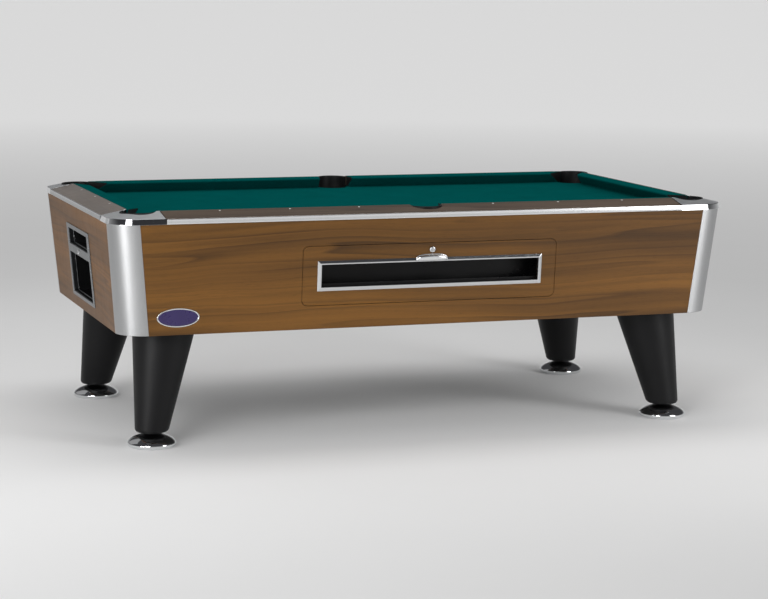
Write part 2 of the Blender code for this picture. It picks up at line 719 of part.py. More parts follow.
def door_lock(material, door):
    """A lock sleeve through the door, and the barrel that turns in it with its cam behind the door."""
    place = square_to_face(FRONT, 0.0, LOCK_MIDDLE)
    depth = PANEL_THICKNESS * math.cos(LEAN_ANGLE)
    bore = upright(circle((0, 0), LOCK_SLEEVE_RADIUS + SEAT), -depth - PAST, PAST)
    bore = new_object("cut_lock_bore", bore)
    bore.matrix_world = place
    cut(door, bore)
    inner = LOCK_BARREL_RADIUS + RUNNING
    sleeve = [
        (inner, -depth),
        (LOCK_SLEEVE_RADIUS, -depth),
        (LOCK_SLEEVE_RADIUS, SEAT),
        (LOCK_RADIUS, SEAT),
        (LOCK_RADIUS, LOCK_PROUD - TRIM_EDGE),
        (LOCK_RADIUS - TRIM_EDGE, LOCK_PROUD),
        (inner, LOCK_PROUD),
        (inner, -depth),
    ]
    body = new_object("door_lock_body", turned(sleeve), material)
    body.matrix_world = place
    back = -depth - CAM_CLEARANCE - CAM_THICKNESS
    barrel = upright(circle((0, 0), LOCK_BARREL_RADIUS), back, LOCK_PROUD)
    barrel = new_object("door_lock_barrel", barrel, material)
    barrel.matrix_world = place
    half = CAM_WIDTH / 2
    cam = box((-half, -half, back), (CAM_LENGTH - half, half, back + CAM_THICKNESS))
    cam = new_object("add_lock_cam", cam)
    cam.matrix_world = place
    join(barrel, cam)
    return body, barrel


def tray_front():
    """Where the tray's front face lies, along Y."""
    return -(HALF_WIDTH - face_inset(TRAY_FLOOR) - PANEL_THICKNESS - TRAY_BEHIND_DOOR)


def ball_tray(material):
    """The trough behind the window, fed from its right end, standing on the cabinet floor."""
    front = tray_front()
    back = front + SHEET + TRAY_DEPTH
    left = -(WINDOW_WIDTH / 2 + TRAY_PAST_WINDOW)
    right = HALF_LENGTH - face_inset(TRAY_FLOOR) - POST_RADIUS - TRAY_BEHIND_DOOR
    mouth = end_run_left() - RUN_PASSING_GAP
    under = TRAY_FLOOR - SHEET
    wall_top = RUN_LOW - SHEET - SEAT
    tray = new_object("ball_tray", box((left, front, under), (right, back + SHEET, TRAY_FLOOR)), material)
    pieces = {
        "lip": ((left, front, under), (right, front + SHEET, TRAY_FLOOR + TRAY_LIP)),
        "back": ((left, back, under), (mouth, back + SHEET, wall_top)),
        "left_end": ((left, front, under), (left + SHEET, back + SHEET, wall_top)),
        "right_end": ((right - SHEET, front, under), (right, back + SHEET, wall_top)),
    }
    setback = front + TRAY_FOOT_SETBACK
    feet = {"foot_left": left + TRAY_FOOT_WIDTH, "foot_middle": -left, "foot_right": mouth}
    for name, x in feet.items():
        low = (x - TRAY_FOOT_WIDTH, setback, FLOOR_TOP + SEAT)
        pieces[name] = (low, (x, back, TRAY_FLOOR - SHEET / 2))
    for name, (low, high) in pieces.items():
        join(tray, new_object(f"add_tray_{name}", box(low, high)))


def end_run_left():
    """Where the end run's inner side lies, along X."""
    return end_run_right() - END_RUN_WIDTH


def end_run_right():
    return HALF_LENGTH - face_inset(end_run_floor(1.0) - SHEET) - PANEL_THICKNESS - END_RUN_CLEAR


def end_run_floor(share):
    """Height of the end run's floor, at a share of the way from the back to the front."""
    return RUN_LOW - END_RUN_STEP - END_RUN_FALL * share


def channel(a, b, wall_top, floor):
    """Section of an open channel from a to b, as (across, height) points."""
    return [
        (a, floor - SHEET),
        (b, floor - SHEET),
        (b, wall_top),
        (b - SHEET, wall_top),
        (b - SHEET, floor),
        (a + SHEET, floor),
        (a + SHEET, wall_top),
        (a, wall_top),
    ]


def ball_runs(material):
    """Two long channels under the pockets, and one across the right end that takes the balls to the tray."""
    outer = HALF_WIDTH - face_inset(RUN_LOW) - PANEL_THICKNESS - RUN_CLEAR_OF_PANEL
    inner = outer - RUN_INNER_WIDTH - 2 * SHEET
    start = -(CREST_X + SLATE_OVERLAP - RUN_START_INSET / 2)
    end = end_run_left() - RUN_PASSING_GAP
    for name, sign in (("front", -1), ("back", 1)):
        rings = []
        for x, floor in ((start, RUN_TOP - RUN_DEPTH), (end, RUN_LOW)):
            rings.append([(x, sign * y, z) for y, z in channel(inner, outer, RUN_TOP, floor)])
        new_object(f"ball_run_{name}", loft(rings), material)
    rings = []
    front = tray_front() + TRAY_DEPTH + 2 * SHEET + SEAT
    for y, share in ((outer, 0.0), (front, 1.0)):
        section = channel(end_run_left(), end_run_right(), RUN_LOW - SHEET, end_run_floor(share))
        rings.append([(x, y, z) for x, z in section])
    end_run = new_object("ball_run_end", loft(rings), material)
    for name, y, share in (("back", outer - 2 * TRAY_FOOT_WIDTH, 0.0), ("front", front, 1.0)):
        low = (end_run_left(), y, FLOOR_TOP + SEAT)
        high = (end_run_right(), y + TRAY_FOOT_WIDTH, end_run_floor(share) - SHEET / 2)
        join(end_run, new_object(f"add_end_run_foot_{name}", box(low, high)))


def end_outline(width, low, high, shrink=0.0):
    """A round-cornered rectangle on the left end, between two heights, made smaller all round."""
    u = width / 2 - shrink
    return rounded((-u, low + shrink), (u, high - shrink), BEZEL_CORNER, SMALL_CORNER_STEPS)


def coin_end(materials, left_panel):
    """The bezel, the two-part recess behind it and the lock on its crossbar."""
    hole = end_outline(BEZEL_WIDTH, BEZEL_BOTTOM, BEZEL_TOP, BEZEL_LAP)
    cut(left_panel, through("cut_end_opening", LEFT, hole))
    half, turn = LEFT
    bezel = slab(half, end_outline(BEZEL_WIDTH, BEZEL_BOTTOM, BEZEL_TOP), -BEZEL_PROUD, -SEAT)
    bezel = new_object("end_bezel", bezel, materials["alloy"], turn)
    body = end_outline(BEZEL_WIDTH, BEZEL_BOTTOM, BEZEL_TOP, BEZEL_LAP + SEAT)
    body = new_object("end_recess_box", slab(half, body, 0.0, RECESS_DEPTH), materials["black"], turn)
    spaces = {
        "coin": end_outline(COIN_WIDTH, COIN_BOTTOM, COIN_TOP),
        "cash": end_outline(CASH_WIDTH, CASH_BOTTOM, CASH_TOP),
    }
    for name, outline in spaces.items():
        cutter = through(f"cut_{name}_space", LEFT, outline, -PAST, RECESS_DEPTH - RECESS_WALL)
        cut(bezel, cutter)
        cut(body, cutter)
    place = square_to_face(LEFT, 0.0, (COIN_BOTTOM + CASH_TOP) / 2)
    bore = upright(circle((0, 0), END_LOCK_RADIUS + RUNNING), -END_LOCK_LENGTH - SEAT, PAST)
    bore = new_object("cut_end_lock", bore)
    bore.matrix_world = place
    cut(bezel, bore)
    cut(body, bore)
    profile = [
        (0.0, -END_LOCK_LENGTH),
        (END_LOCK_RADIUS, -END_LOCK_LENGTH),
        (END_LOCK_RADIUS, END_LOCK_PROUD - TRIM_EDGE),
        (END_LOCK_RADIUS - TRIM_EDGE, END_LOCK_PROUD),
        (0.0, END_LOCK_PROUD),
    ]
    lock = new_object("end_lock", turned(profile), materials["chrome"])
    lock.matrix_world = place


def badge_plate(material):
    """A blank oval plate near the front left corner."""
    u = -(HALF_LENGTH - BADGE_FROM_CORNER)
    z = CABINET_BOTTOM + BADGE_RISE
    across, up = BADGE_WIDTH / 2, BADGE_HEIGHT / 2
    outline = [(u + across * x, z + up * y) for x, y in circle((0, 0), 1.0, WIDE_ROUND_STEPS)]
    new_object("badge_plate", slab(HALF_WIDTH, outline, -BADGE_THICKNESS, -SEAT), material)


def clear_scene():
    for obj in list(bpy.data.objects):
        bpy.data.objects.remove(obj, do_unlink=True)


def build_table():
    clear_scene()
    materials = make_materials()
    cutters = pocket_cutters()
    front_panel = panel("front_panel", FRONT, materials["wood"])
    panel("back_panel", BACK, materials["wood"])
    left_panel = panel("left_end_panel", LEFT, materials["wood"])
    panel("right_end_panel", RIGHT, materials["wood"])
    for name, signs in CORNERS.items():
        corner_post(f"corner_post_{name}", signs, materials["alloy"])
        leg(name, signs, materials["black"])
        foot(name, signs, materials["chrome"])
    cabinet_floor(materials["board"])
    slate_beams(materials["board"])
    slate_and_cloth(materials)
    rails_and_trim(materials, cutters)
    cushions(materials["cloth"])
    castings(materials["casting"], cutters)
    pocket_liners(materials["rubber"])
    access_door(materials, front_panel)
    ball_tray(materials["black"])
    ball_runs(materials["steel"])
    coin_end(materials, left_panel)
    badge_plate(materials["alloy"])


build_table()
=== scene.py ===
"""The looks of a coin-operated pool table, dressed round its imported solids.

Metres, +Z up, in the solids' own frame: X runs along the table and the access door faces -Y.
"""

import math

import bmesh
import bpy
from mathutils import Matrix, Vector
from mathutils.geometry import tessellate_polygon


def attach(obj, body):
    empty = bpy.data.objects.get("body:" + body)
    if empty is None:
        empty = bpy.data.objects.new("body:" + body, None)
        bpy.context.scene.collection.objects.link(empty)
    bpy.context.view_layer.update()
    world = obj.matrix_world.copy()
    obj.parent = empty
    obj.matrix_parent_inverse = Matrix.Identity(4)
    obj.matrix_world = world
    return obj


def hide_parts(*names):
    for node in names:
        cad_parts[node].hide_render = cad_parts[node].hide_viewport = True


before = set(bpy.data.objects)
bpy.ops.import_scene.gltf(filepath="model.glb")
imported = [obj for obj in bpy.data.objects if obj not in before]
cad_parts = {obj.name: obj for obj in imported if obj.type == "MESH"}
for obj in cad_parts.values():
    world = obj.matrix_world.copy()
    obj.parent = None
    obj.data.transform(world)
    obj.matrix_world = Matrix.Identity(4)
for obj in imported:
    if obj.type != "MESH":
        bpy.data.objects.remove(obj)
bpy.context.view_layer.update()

# The fit that the solids leave between pieces
SEAT = 0.0003

# Plan of the table, to the outer face of the trim and to the line where wood meets cushion
HALF_LENGTH = 1.1325
HALF_WIDTH = 0.6375
RAIL_WIDTH = 0.0905
CREST_X = HALF_LENGTH - RAIL_WIDTH
CREST_Y = HALF_WIDTH - RAIL_WIDTH
CUSHION_WIDTH = 0.052

# Heights, from the floor up
LEG_BOTTOM = 0.0505
LEG_TOP = 0.400
CABINET_BOTTOM = 0.4003
CABINET_TOP = 0.7797
RAIL_BOTTOM = 0.7800
TRIM_TOP = 0.7980
CREST = 0.8170
CLOTH_TOP = 0.7750
SLATE_BOTTOM = 0.7517

# Leaning cabinet
PANEL_THICKNESS = 0.018
PANEL_INSET = 0.006
PANEL_LEAN = 0.035
BOARD_EDGE = 0.0010
POST_RADIUS = 0.095
POST_WALL = 0.005
POST_FLANGE = 0.004
POST_EDGE = 0.0016
POST_ROLL = 0.0008
LEAN_ANGLE = math.atan(PANEL_LEAN / (CABINET_TOP - CABINET_BOTTOM))

# Trim, whose edge is given as (behind the crowned face, in from the strip's top or bottom) points
TRIM_THICKNESS = 0.005
TRIM_CROWN = 0.0004
TRIM_STEPS = 10
TRIM_EDGE_START = 0.0008
TRIM_EDGE = ((0.0004, 0.0002), (0.0010, 0.0))

# Rails, with their sights as (share of the radius, rise above the rail) points
RAIL_EDGE = 0.0012
SIGHT_RADIUS = 0.0037
SIGHT_FROM_CREST = 0.0125
SIGHT_SPACING = 0.2475
SIGHT_PROFILE = ((1.0, -0.0006), (1.0, 0.00010), (0.9, 0.00022), (0.5, 0.00034), (0.12, 0.00038))
LONG_RAIL_SIGHTS = (-3, -2, -1, 1, 2, 3)
END_RAIL_SIGHTS = (-1, 0, 1)

# Corner castings
CASTING_END_X = 0.94250
CASTING_END_Y = 0.45949
CASTING_RADIUS = POST_RADIUS + PANEL_INSET
CASTING_LIP = 0.0016
CASTING_BAND_DROP = 0.0174
CASTING_BAND_TILT = math.radians(15)
CASTING_LEAST_REACH = 0.0004
CASTING_END_TURN = 0.002

# Pockets
CORNER_POCKET = (1.015, 0.520)
CORNER_POCKET_RADIUS = 0.062
CORNER_LINER_SPAN = math.radians(190)
SIDE_POCKET_Y = 0.546
SIDE_POCKET_RADIUS = 0.058
SIDE_LINER_SPAN = math.radians(170)
LINER_WALL = 0.006
LINER_TOP = 0.8140
LINER_FLARE = 0.0006
LINER_FLARE_HEIGHT = 0.010

# Cushions, with the radius at each corner of their section
CUSHION_FOOT = 0.014
CUSHION_CROWN = 0.0006
CUSHION_BACK_DROP = 0.0004
CUSHION_WRAP = 0.0018
CUSHION_ROUNDS = (0.0008, 0.004, 0.0030, 0.0021, 0.060, 0.0022)
NOSE_HEIGHT = 0.0365
NOSE_FLAT = 0.0052
CORNER_FACING = math.radians(52)
SIDE_FACING = math.radians(9)
CUSHION_END_X = 0.907
CUSHION_END_Y = 0.412
SIDE_MOUTH = 0.132

# Bed cloth, which reaches under the rails and turns down over the edge of the slate
CLOTH_X = 1.0875
CLOTH_Y = 0.5925
CLOTH_FALL = 0.018
CLOTH_ROLL = 0.003
CORNER_FALL_SPAN = math.radians(150)
SIDE_FALL_SPAN = math.radians(166)

# The cloth's bites in turn, with the edges of the cloth that each one runs from and to
CLOTH_BITES = (
    ("front_left", "x", "y"),
    ("front_side", "y", "y"),
    ("front_right", "y", "x"),
    ("back_right", "x", "y"),
    ("back_side", "y", "y"),
    ("back_left", "y", "x"),
)

# Access door, from its hinge side up
DOOR_WIDTH = 0.930
DOOR_BOTTOM = 0.4837
DOOR_TOP = 0.6897
DOOR_CORNER = 0.020
DOOR_GAP = 0.0015
DOOR_EDGE = 0.0008
WINDOW_WIDTH = 0.798
WINDOW_BOTTOM = 0.5462
WINDOW_TOP = 0.6252
WINDOW_LAP = 0.004
PULL_WIDTH = 0.118
PULL_BOTTOM = 0.6297
PULL_HEIGHT = 0.022
PULL_PROUD = 0.0165
PULL_WALL = 0.0016
PULL_FLANGE = 0.0026
PULL_FLANGE_STEP = 0.4
PULL_FULLNESS = 0.70
PULL_SQUARENESS = 0.45

# Window frame, as (out from the window's edge, behind the door's face) points round its section
FRAME_CORNER = 0.0012
FRAME_SECTION = (
    (0.0135, -0.0003),
    (0.0135, -0.0006),
    (0.0132, -0.0010),
    (0.0048, -0.0048),
    (0.0041, -0.0050),
    (0.0010, -0.0050),
    (0.0003, -0.0047),
    (0.0000, -0.0040),
    (0.0000, 0.0080),
    (0.0034, 0.0080),
    (0.0034, -0.0003),
)

# Locks: the collar's round as (in from its radius, height) points, keyways as (width, height)
LOCK_HEIGHT = 0.6672
LOCK_RADIUS = 0.011
LOCK_SLEEVE = 0.0085
LOCK_BARREL = 0.0060
LOCK_PROUD = 0.007
COLLAR_ROUND = ((0.0, 0.0040), (0.0004, 0.0052), (0.0014, 0.0064), (0.0028, LOCK_PROUD))
COLLAR_MOUTH = 0.0004
COLLAR_MOUTH_DEPTH = 0.0005
PLUG_EDGE = 0.0006
DOOR_KEYWAY = (0.0016, 0.0068)
COIN_KEYWAY = (0.0022, 0.0095)
KEYWAY_ROUND = 0.45
KEYWAY_MOUTH = 0.00015
KEYWAY_MOUTH_DEPTH = 0.0002
KEYWAY_DEPTH = 0.004
CAM_LENGTH = 0.034
CAM_WIDTH = 0.012
CAM_THICKNESS = 0.0025
CAM_BACK = 0.0219246
CAM_EDGE = 0.0005
CAM_ROUND = 0.6

# Coin end
BEZEL_WIDTH = 0.390
BEZEL_BOTTOM = 0.4407
BEZEL_TOP = 0.7047
BEZEL_PROUD = 0.004
BEZEL_CORNER = 0.005
BEZEL_LAP = 0.006
BEZEL_EDGE = 0.0016
RETURN_GAP = 0.0004
RETURN_WALL = 0.0012
RETURN_DEPTH = 0.0150
RETURN_BEAD = 0.0018
BEAD_STEPS = 6
COIN_WIDTH = 0.330
COIN_BOTTOM = 0.6317
COIN_TOP = 0.6887
CASH_WIDTH = 0.350
CASH_BOTTOM = 0.4547
CASH_TOP = 0.6017
COIN_LOCK_HEIGHT = 0.6167
COIN_LOCK_RADIUS = 0.009
COIN_LOCK_PROUD = 0.006
COIN_LOCK_LENGTH = 0.030

# Bare oval plate, with its inner edge and its field as (past the rim, below the rim's top) points
OVAL_X = -0.8975
OVAL_HEIGHT = 0.4603
OVAL_HALF_WIDTH = 0.0735
OVAL_HALF_RISE = 0.033
OVAL_RIM = 0.0045
OVAL_PROUD = 0.002
OVAL_EDGE = 0.0011
OVAL_INNER_EDGE = ((-0.0008, 0.0), (0.0, 0.0007))
OVAL_FIELD = ((0.0001, 0.0006), (0.0014, 0.0001), (0.010, -0.0003))

# Legs and feet
FOOT_X = 0.9625
FOOT_Y = 0.4775
LEG_TOP_RADIUS = 0.1095
LEG_BOTTOM_RADIUS = 0.0575
LEG_FILLET = 0.012
LEG_SPLAY = 0.058
LEG_STEPS = 12
LEG_BORE_RADIUS = 0.0083
LEG_BORE_TOP = 0.119
LEG_BORE_EDGE = 0.001
FOOT_RADIUS = 0.085
FOOT_BASE_RADIUS = 0.074
FOOT_RIM_HEIGHT = 0.013
FOOT_DOME_HEIGHT = 0.046
FOOT_DOME_SLOPE = 1.28
FOOT_NECK_RADIUS = 0.016
STEM_RADIUS = 0.008
STEM_TOP = 0.115
STEM_EDGE = 0.001

# How finely curves are divided, and the angle above which an edge stays crisp
FINE_STEPS = 96
ROUND_STEPS = 48
PULL_STEPS = 36
ARC_STEPS = 24
BULGE_STEPS = 10
ROLL_STEPS = 8
EDGE_STEPS = 3
CRISP_ANGLE = math.radians(40)
WELD = 1e-6
QUARTER = math.pi / 2

# Each side is drawn as the front is, then turned about the middle of the table
SIDES = {
    "front": (HALF_WIDTH, 0.0),
    "back": (HALF_WIDTH, math.pi),
    "left": (HALF_LENGTH, -QUARTER),
    "right": (HALF_LENGTH, QUARTER),
}
CORNERS = {
    "front_left": (-1, -1),
    "front_right": (1, -1),
    "back_left": (-1, 1),
    "back_right": (1, 1),
}


# Shader groups and finishes


def feed(tree, socket, value):
    """Links a socket to the one that feeds it, or sets its plain value."""
    if isinstance(value, bpy.types.NodeSocket):
        tree.links.new(value, socket)
    else:
        socket.default_value = value


def add_node(tree, kind, inputs, **settings):
    """A node whose inputs take values or sockets."""
    made = tree.nodes.new(kind)
    for key, value in settings.items():
        setattr(made, key, value)
    for key, value in inputs.items():
        feed(tree, made.inputs[key], value)
    return made


def math_node(tree, operation, first, second=0.0, clamp=False):
    inputs = {0: first, 1: second}
    return add_node(tree, "ShaderNodeMath", inputs, operation=operation, use_clamp=clamp).outputs["Value"]


def times(tree, first, second):
    return math_node(tree, "MULTIPLY", first, second)


def vector_node(tree, operation, inputs):
    return add_node(tree, "ShaderNodeVectorMath", inputs, operation=operation).outputs


def parts_of(tree, vector):
    return add_node(tree, "ShaderNodeSeparateXYZ", {"Vector": vector}).outputs


def blend(tree, first, second, share):
    """A value that holds a share of the second and the rest of the first."""
    inputs = {"Factor": share, "A": first, "B": second}
    return add_node(tree, "ShaderNodeMix", inputs, data_type="FLOAT").outputs["Result"]


def mix_colour(tree, share, first, second):
    """A colour that holds a share of the second and the rest of the first."""
    colours = [c if isinstance(c, bpy.types.NodeSocket) else (*c, 1.0) for c in (first, second)]
    inputs = {0: share, 6: colours[0], 7: colours[1]}
    return add_node(tree, "ShaderNodeMix", inputs, data_type="RGBA").outputs[2]


def stretched(tree, vector, scale=(1, 1, 1), place=(0, 0, 0), turn=(0, 0, 0)):
    inputs = {"Vector": vector, "Location": place, "Rotation": turn, "Scale": scale}
    return add_node(tree, "ShaderNodeMapping", inputs).outputs["Vector"]


def noise(tree, vector, scale=1.0, detail=2.0, roughness=0.5):
    inputs = {"Vector": vector, "Scale": scale, "Detail": detail, "Roughness": roughness}
    return add_node(tree, "ShaderNodeTexNoise", inputs).outputs["Fac"]


def between(tree, value, low, high, start=0.0, end=1.0):
    """The value's way from low to high, as a clamped run from start to end."""
    inputs = {"Value": value, "From Min": low, "From Max": high, "To Min": start, "To Max": end}
    return add_node(tree, "ShaderNodeMapRange", inputs).outputs["Result"]


def varied(tree, mask, middle, less, more):
    """A value that a mask moves about its middle."""
    return between(tree, mask, 0.0, 1.0, middle - less, middle + more)


def new_group(name, inside, **takes):
    """A shader group with named inputs and outputs, from the function that wires its inside."""
    tree = bpy.data.node_groups.new(name, "ShaderNodeTree")
    tree.interface.new_socket("Vector", in_out="INPUT", socket_type="NodeSocketVector")
    for socket, value in takes.items():
        made = tree.interface.new_socket(socket, in_out="INPUT", socket_type="NodeSocketFloat")
        made.default_value = value
    gives = inside(tree, tree.nodes.new("NodeGroupInput").outputs)
    for socket in gives:
        tree.interface.new_socket(socket, in_out="OUTPUT", socket_type="NodeSocketFloat")
    end = tree.nodes.new("NodeGroupOutput")
    for socket, value in gives.items():
        tree.links.new(value, end.inputs[socket])
    return tree


# Walnut figure: how each pattern is drawn out along, through and across the board
SWAY_STRETCH = (1.2, 0.5, 1.7)
BAND_STRETCH = (0.55, 0.6, 10.0)
RING_STRETCH = (0.34, 0.6, 13.0)
RING_PLACE = (3.1, 0.4, 1.7)
PATCH_STRETCH = (1.1, 1.0, 6.0)
PATCH_PLACE = (7.7, 0.0, 2.2)
FIBRE_STRETCH = (2.6, 9.0, 190.0)
PORE_STRETCH = (30.0, 60.0, 900.0)
RING_COUNT = 9.0
LATE_WOOD_POWER = 2.6
EARLY_WOOD_SHARE = 0.07
FIBRE_SHARE = 0.24
FIBRE_RELIEF = 0.4


def walnut_figure(tree, given):
    """Figure of a printed walnut veneer. X runs along the board and Z across it."""
    sway = noise(tree, stretched(tree, given["Vector"], SWAY_STRETCH), roughness=0.45)
    sway = times(tree, math_node(tree, "SUBTRACT", sway, 0.5), given["Wander"])
    shift = add_node(tree, "ShaderNodeCombineXYZ", {"Z": sway}).outputs["Vector"]
    bent = vector_node(tree, "ADD", {0: given["Vector"], 1: shift})["Vector"]
    bands = noise(tree, stretched(tree, bent, BAND_STRETCH))
    rings = noise(tree, stretched(tree, bent, RING_STRETCH, RING_PLACE), detail=1.0, roughness=0.45)
    patches = noise(tree, stretched(tree, bent, PATCH_STRETCH, PATCH_PLACE))
    fibres = noise(tree, stretched(tree, bent, FIBRE_STRETCH), detail=3.0, roughness=0.6)
    pores = noise(tree, stretched(tree, bent, PORE_STRETCH), detail=1.0)
    ring = math_node(tree, "FRACT", times(tree, rings, RING_COUNT))
    late = math_node(tree, "POWER", ring, LATE_WOOD_POWER)
    early = between(tree, ring, low=0.0, high=EARLY_WOOD_SHARE, start=1.0, end=0.0)
    growth = math_node(tree, "MAXIMUM", late, early)
    growth = times(tree, growth, between(tree, patches, low=0.36, high=0.62, start=0.25))
    bands = between(tree, bands, low=0.32, high=0.68)
    tone = blend(tree, bands, between(tree, fibres, low=0.25, high=0.75), FIBRE_SHARE)
    pore = between(tree, pores, low=0.60, high=0.70)
    relief = math_node(tree, "SUBTRACT", times(tree, fibres, FIBRE_RELIEF), pore)
    return {"Tone": tone, "Growth": growth, "Pore": pore, "Relief": relief}


# Brushed metal: how its fine and its wide lines are drawn out
LINE_STRETCH = (0.006, 1.0, 1.0)
WIDE_LINE_STRETCH = (0.002, 0.12, 0.12)
WIDE_LINE_SHARE = 0.3


def fine_streaks(tree, given):
    """Fine lines left by brushing or drawing. X runs along them."""
    place = vector_node(tree, "SCALE", {0: given["Vector"], "Scale": given["Density"]})["Vector"]
    lines = noise(tree, stretched(tree, place, LINE_STRETCH), detail=3.0, roughness=0.65)
    wide = noise(tree, stretched(tree, place, WIDE_LINE_STRETCH))
    return {"Streak": blend(tree, lines, wide, WIDE_LINE_SHARE), "Relief": lines}


SMUDGE_FINENESS = 9.0
FINE_SMUDGE_SHARE = 0.35


def hand_smudges(tree, given):
    """Soft patches where hands and cloths have been."""
    wide = noise(tree, given["Vector"], given["Scale"], detail=3.0)
    fine = noise(tree, given["Vector"], times(tree, given["Scale"], SMUDGE_FINENESS), detail=4.0)
    return {"Mask": between(tree, blend(tree, wide, fine, FINE_SMUDGE_SHARE), low=0.32, high=0.68)}


def rubbed_edges(tree, given):
    """Where an edge has been rubbed: near a corner of the shape, in broken patches."""
    bevel = add_node(tree, "ShaderNodeBevel", {"Radius": given["Radius"]}, samples=4)
    true_normal = tree.nodes.new("ShaderNodeNewGeometry").outputs["Normal"]
    apart = vector_node(tree, "DOT_PRODUCT", {0: bevel.outputs["Normal"], 1: true_normal})["Value"]
    edge = between(tree, apart, low=0.995, high=0.85)
    patches = noise(tree, given["Vector"], scale=60.0, detail=3.0, roughness=0.6)
    patches = between(tree, patches, low=0.42, high=0.60)
    return {"Mask": times(tree, times(tree, edge, patches), given["Amount"])}


def settled_dust(tree, given):
    """Thin dust on what faces up."""
    up = parts_of(tree, tree.nodes.new("ShaderNodeNewGeometry").outputs["Normal"])["Z"]
    patches = noise(tree, given["Vector"], scale=14.0, detail=5.0, roughness=0.65)
    patches = between(tree, patches, low=0.35, high=0.70)
    mask = times(tree, between(tree, up, low=0.55, high=0.95), patches)
    return {"Mask": times(tree, mask, given["Amount"])}


NAP_STRETCH = (260.0, 900.0, 900.0)
NAP_SHARE = 0.4
WEAVE_SHARE = 0.2


def wool_nap(tree, given):
    """Worsted cloth: crossed threads under a brushed nap."""
    place = vector_node(tree, "SCALE", {0: given["Vector"], "Scale": given["Threads"]})["Vector"]
    parts = parts_of(tree, place)
    warp, weft = (math_node(tree, "SINE", times(tree, parts[axis], math.pi)) for axis in "XY")
    nap = noise(tree, stretched(tree, given["Vector"], NAP_STRETCH), detail=3.0, roughness=0.6)
    mottle = noise(tree, given["Vector"], scale=9.0, detail=4.0, roughness=0.6)
    tone = between(tree, blend(tree, mottle, nap, NAP_SHARE), low=0.30, high=0.70)
    return {"Tone": tone, "Relief": blend(tree, nap, times(tree, warp, weft), WEAVE_SHARE)}


def moulded_grain(tree, given):
    """Fine pebbled grain of moulded or sprayed black surfaces."""
    cells = add_node(tree, "ShaderNodeTexVoronoi", {"Vector": given["Vector"], "Scale": given["Scale"]})
    relief = between(tree, cells.outputs["Distance"], low=0.0, high=0.7)
    tone = noise(tree, given["Vector"], scale=7.0, detail=4.0, roughness=0.6)
    return {"Tone": between(tree, tone, low=0.32, high=0.68), "Relief": relief}


GROUPS = {
    "figure": new_group("walnut_figure", walnut_figure, Wander=0.1),
    "streaks": new_group("fine_streaks", fine_streaks, Density=900.0),
    "smudges": new_group("hand_smudges", hand_smudges, Scale=6.0),
    "rubbed": new_group("rubbed_edges", rubbed_edges, Radius=0.0015, Amount=0.6),
    "dust": new_group("settled_dust", settled_dust, Amount=0.2),
    "nap": new_group("wool_nap", wool_nap, Threads=1100.0),
    "grain": new_group("moulded_grain", moulded_grain, Scale=900.0),
}


def use_group(tree, group, place, **inputs):
    return add_node(tree, "ShaderNodeGroup", {"Vector": place, **inputs}, node_tree=GROUPS[group]).outputs


def new_finish(name, values):
    """A material with its shader's plain values set, its tree and the place on the piece."""
    material = bpy.data.materials.new(name)
    material.use_nodes = True
    tree = material.node_tree
    shader = tree.nodes["Principled BSDF"]
    for socket, value in values.items():
        shader.inputs[socket].default_value = value
    return material, tree, shader, tree.nodes.new("ShaderNodeTexCoord").outputs["Object"]


def join_finish(tree, shader, colour, rough, relief, strength, depth):
    """Feeds a shader its colour, its roughness and its bump."""
    bump = add_node(tree, "ShaderNodeBump", {"Height": relief, "Strength": strength, "Distance": depth})
    feed(tree, shader.inputs["Base Color"], colour)
    feed(tree, shader.inputs["Roughness"], rough)
    feed(tree, shader.inputs["Normal"], bump.outputs["Normal"])


def dusted(tree, place, colour, amount, dust):
    """A colour under a film of dust, where there is any."""
    if not amount:
        return colour
    return mix_colour(tree, use_group(tree, "dust", place, Amount=amount)["Mask"], colour, dust)


# How each direction of grain is turned so that it runs along X
ALONG_TABLE = (0.0, 0.0, 0.0)
ACROSS_TABLE = (0.0, 0.0, QUARTER)
UPRIGHT = (0.0, QUARTER, 0.0)
LONG_RAIL_TOP = (QUARTER, 0.0, 0.0)
END_RAIL_TOP = (QUARTER, -QUARTER, 0.0)

# Wood is given as early wood, late wood and growth lines
WALNUT = ((0.184, 0.079, 0.012), (0.062, 0.027, 0.0055), (0.016, 0.0075, 0.002))
# The end boards are the same laminate as the long ones, paler and greyer: walnut with painted sheen
END_WALNUT_AND_SHEEN = ((0.186, 0.082, 0.018), (0.074, 0.034, 0.010), (0.022, 0.011, 0.005))
RAIL_WALNUT = ((0.137, 0.099, 0.071), (0.068, 0.050, 0.038), (0.032, 0.024, 0.019))
GROWTH_SHARE = 0.62
PORE_SHARE = 0.25
COAT_ROUGHNESS = 0.25
RUBBED_METAL = (0.86, 0.87, 0.88)
METAL_DUST = (0.42, 0.41, 0.39)
SMUDGE_SHARE = 0.5
UPRIGHT_HIGHLIGHT = 0.25
CLOTH = (0.0004, 0.062, 0.060)
CLOTH_SHADE = (0.0003, 0.048, 0.046)
CLOTH_DUST = (0.012, 0.085, 0.082)
CHALK_AMOUNT = 0.05
CLOTH_SHEEN = (0.0, 0.42, 0.40, 1.0)
CLOTH_ROUGHNESS = 0.95
CLOTH_BUMP = 0.25
RUBBED_BLACK = (0.06, 0.06, 0.062)
BLACK_DUST = (0.16, 0.155, 0.15)

# Depth of each kind of relief
WOOD_DEPTH = 0.0004
METAL_DEPTH = 0.0002
CLOTH_DEPTH = 0.0004
BLACK_DEPTH = 0.0003
PLAIN_DEPTH = 0.0003


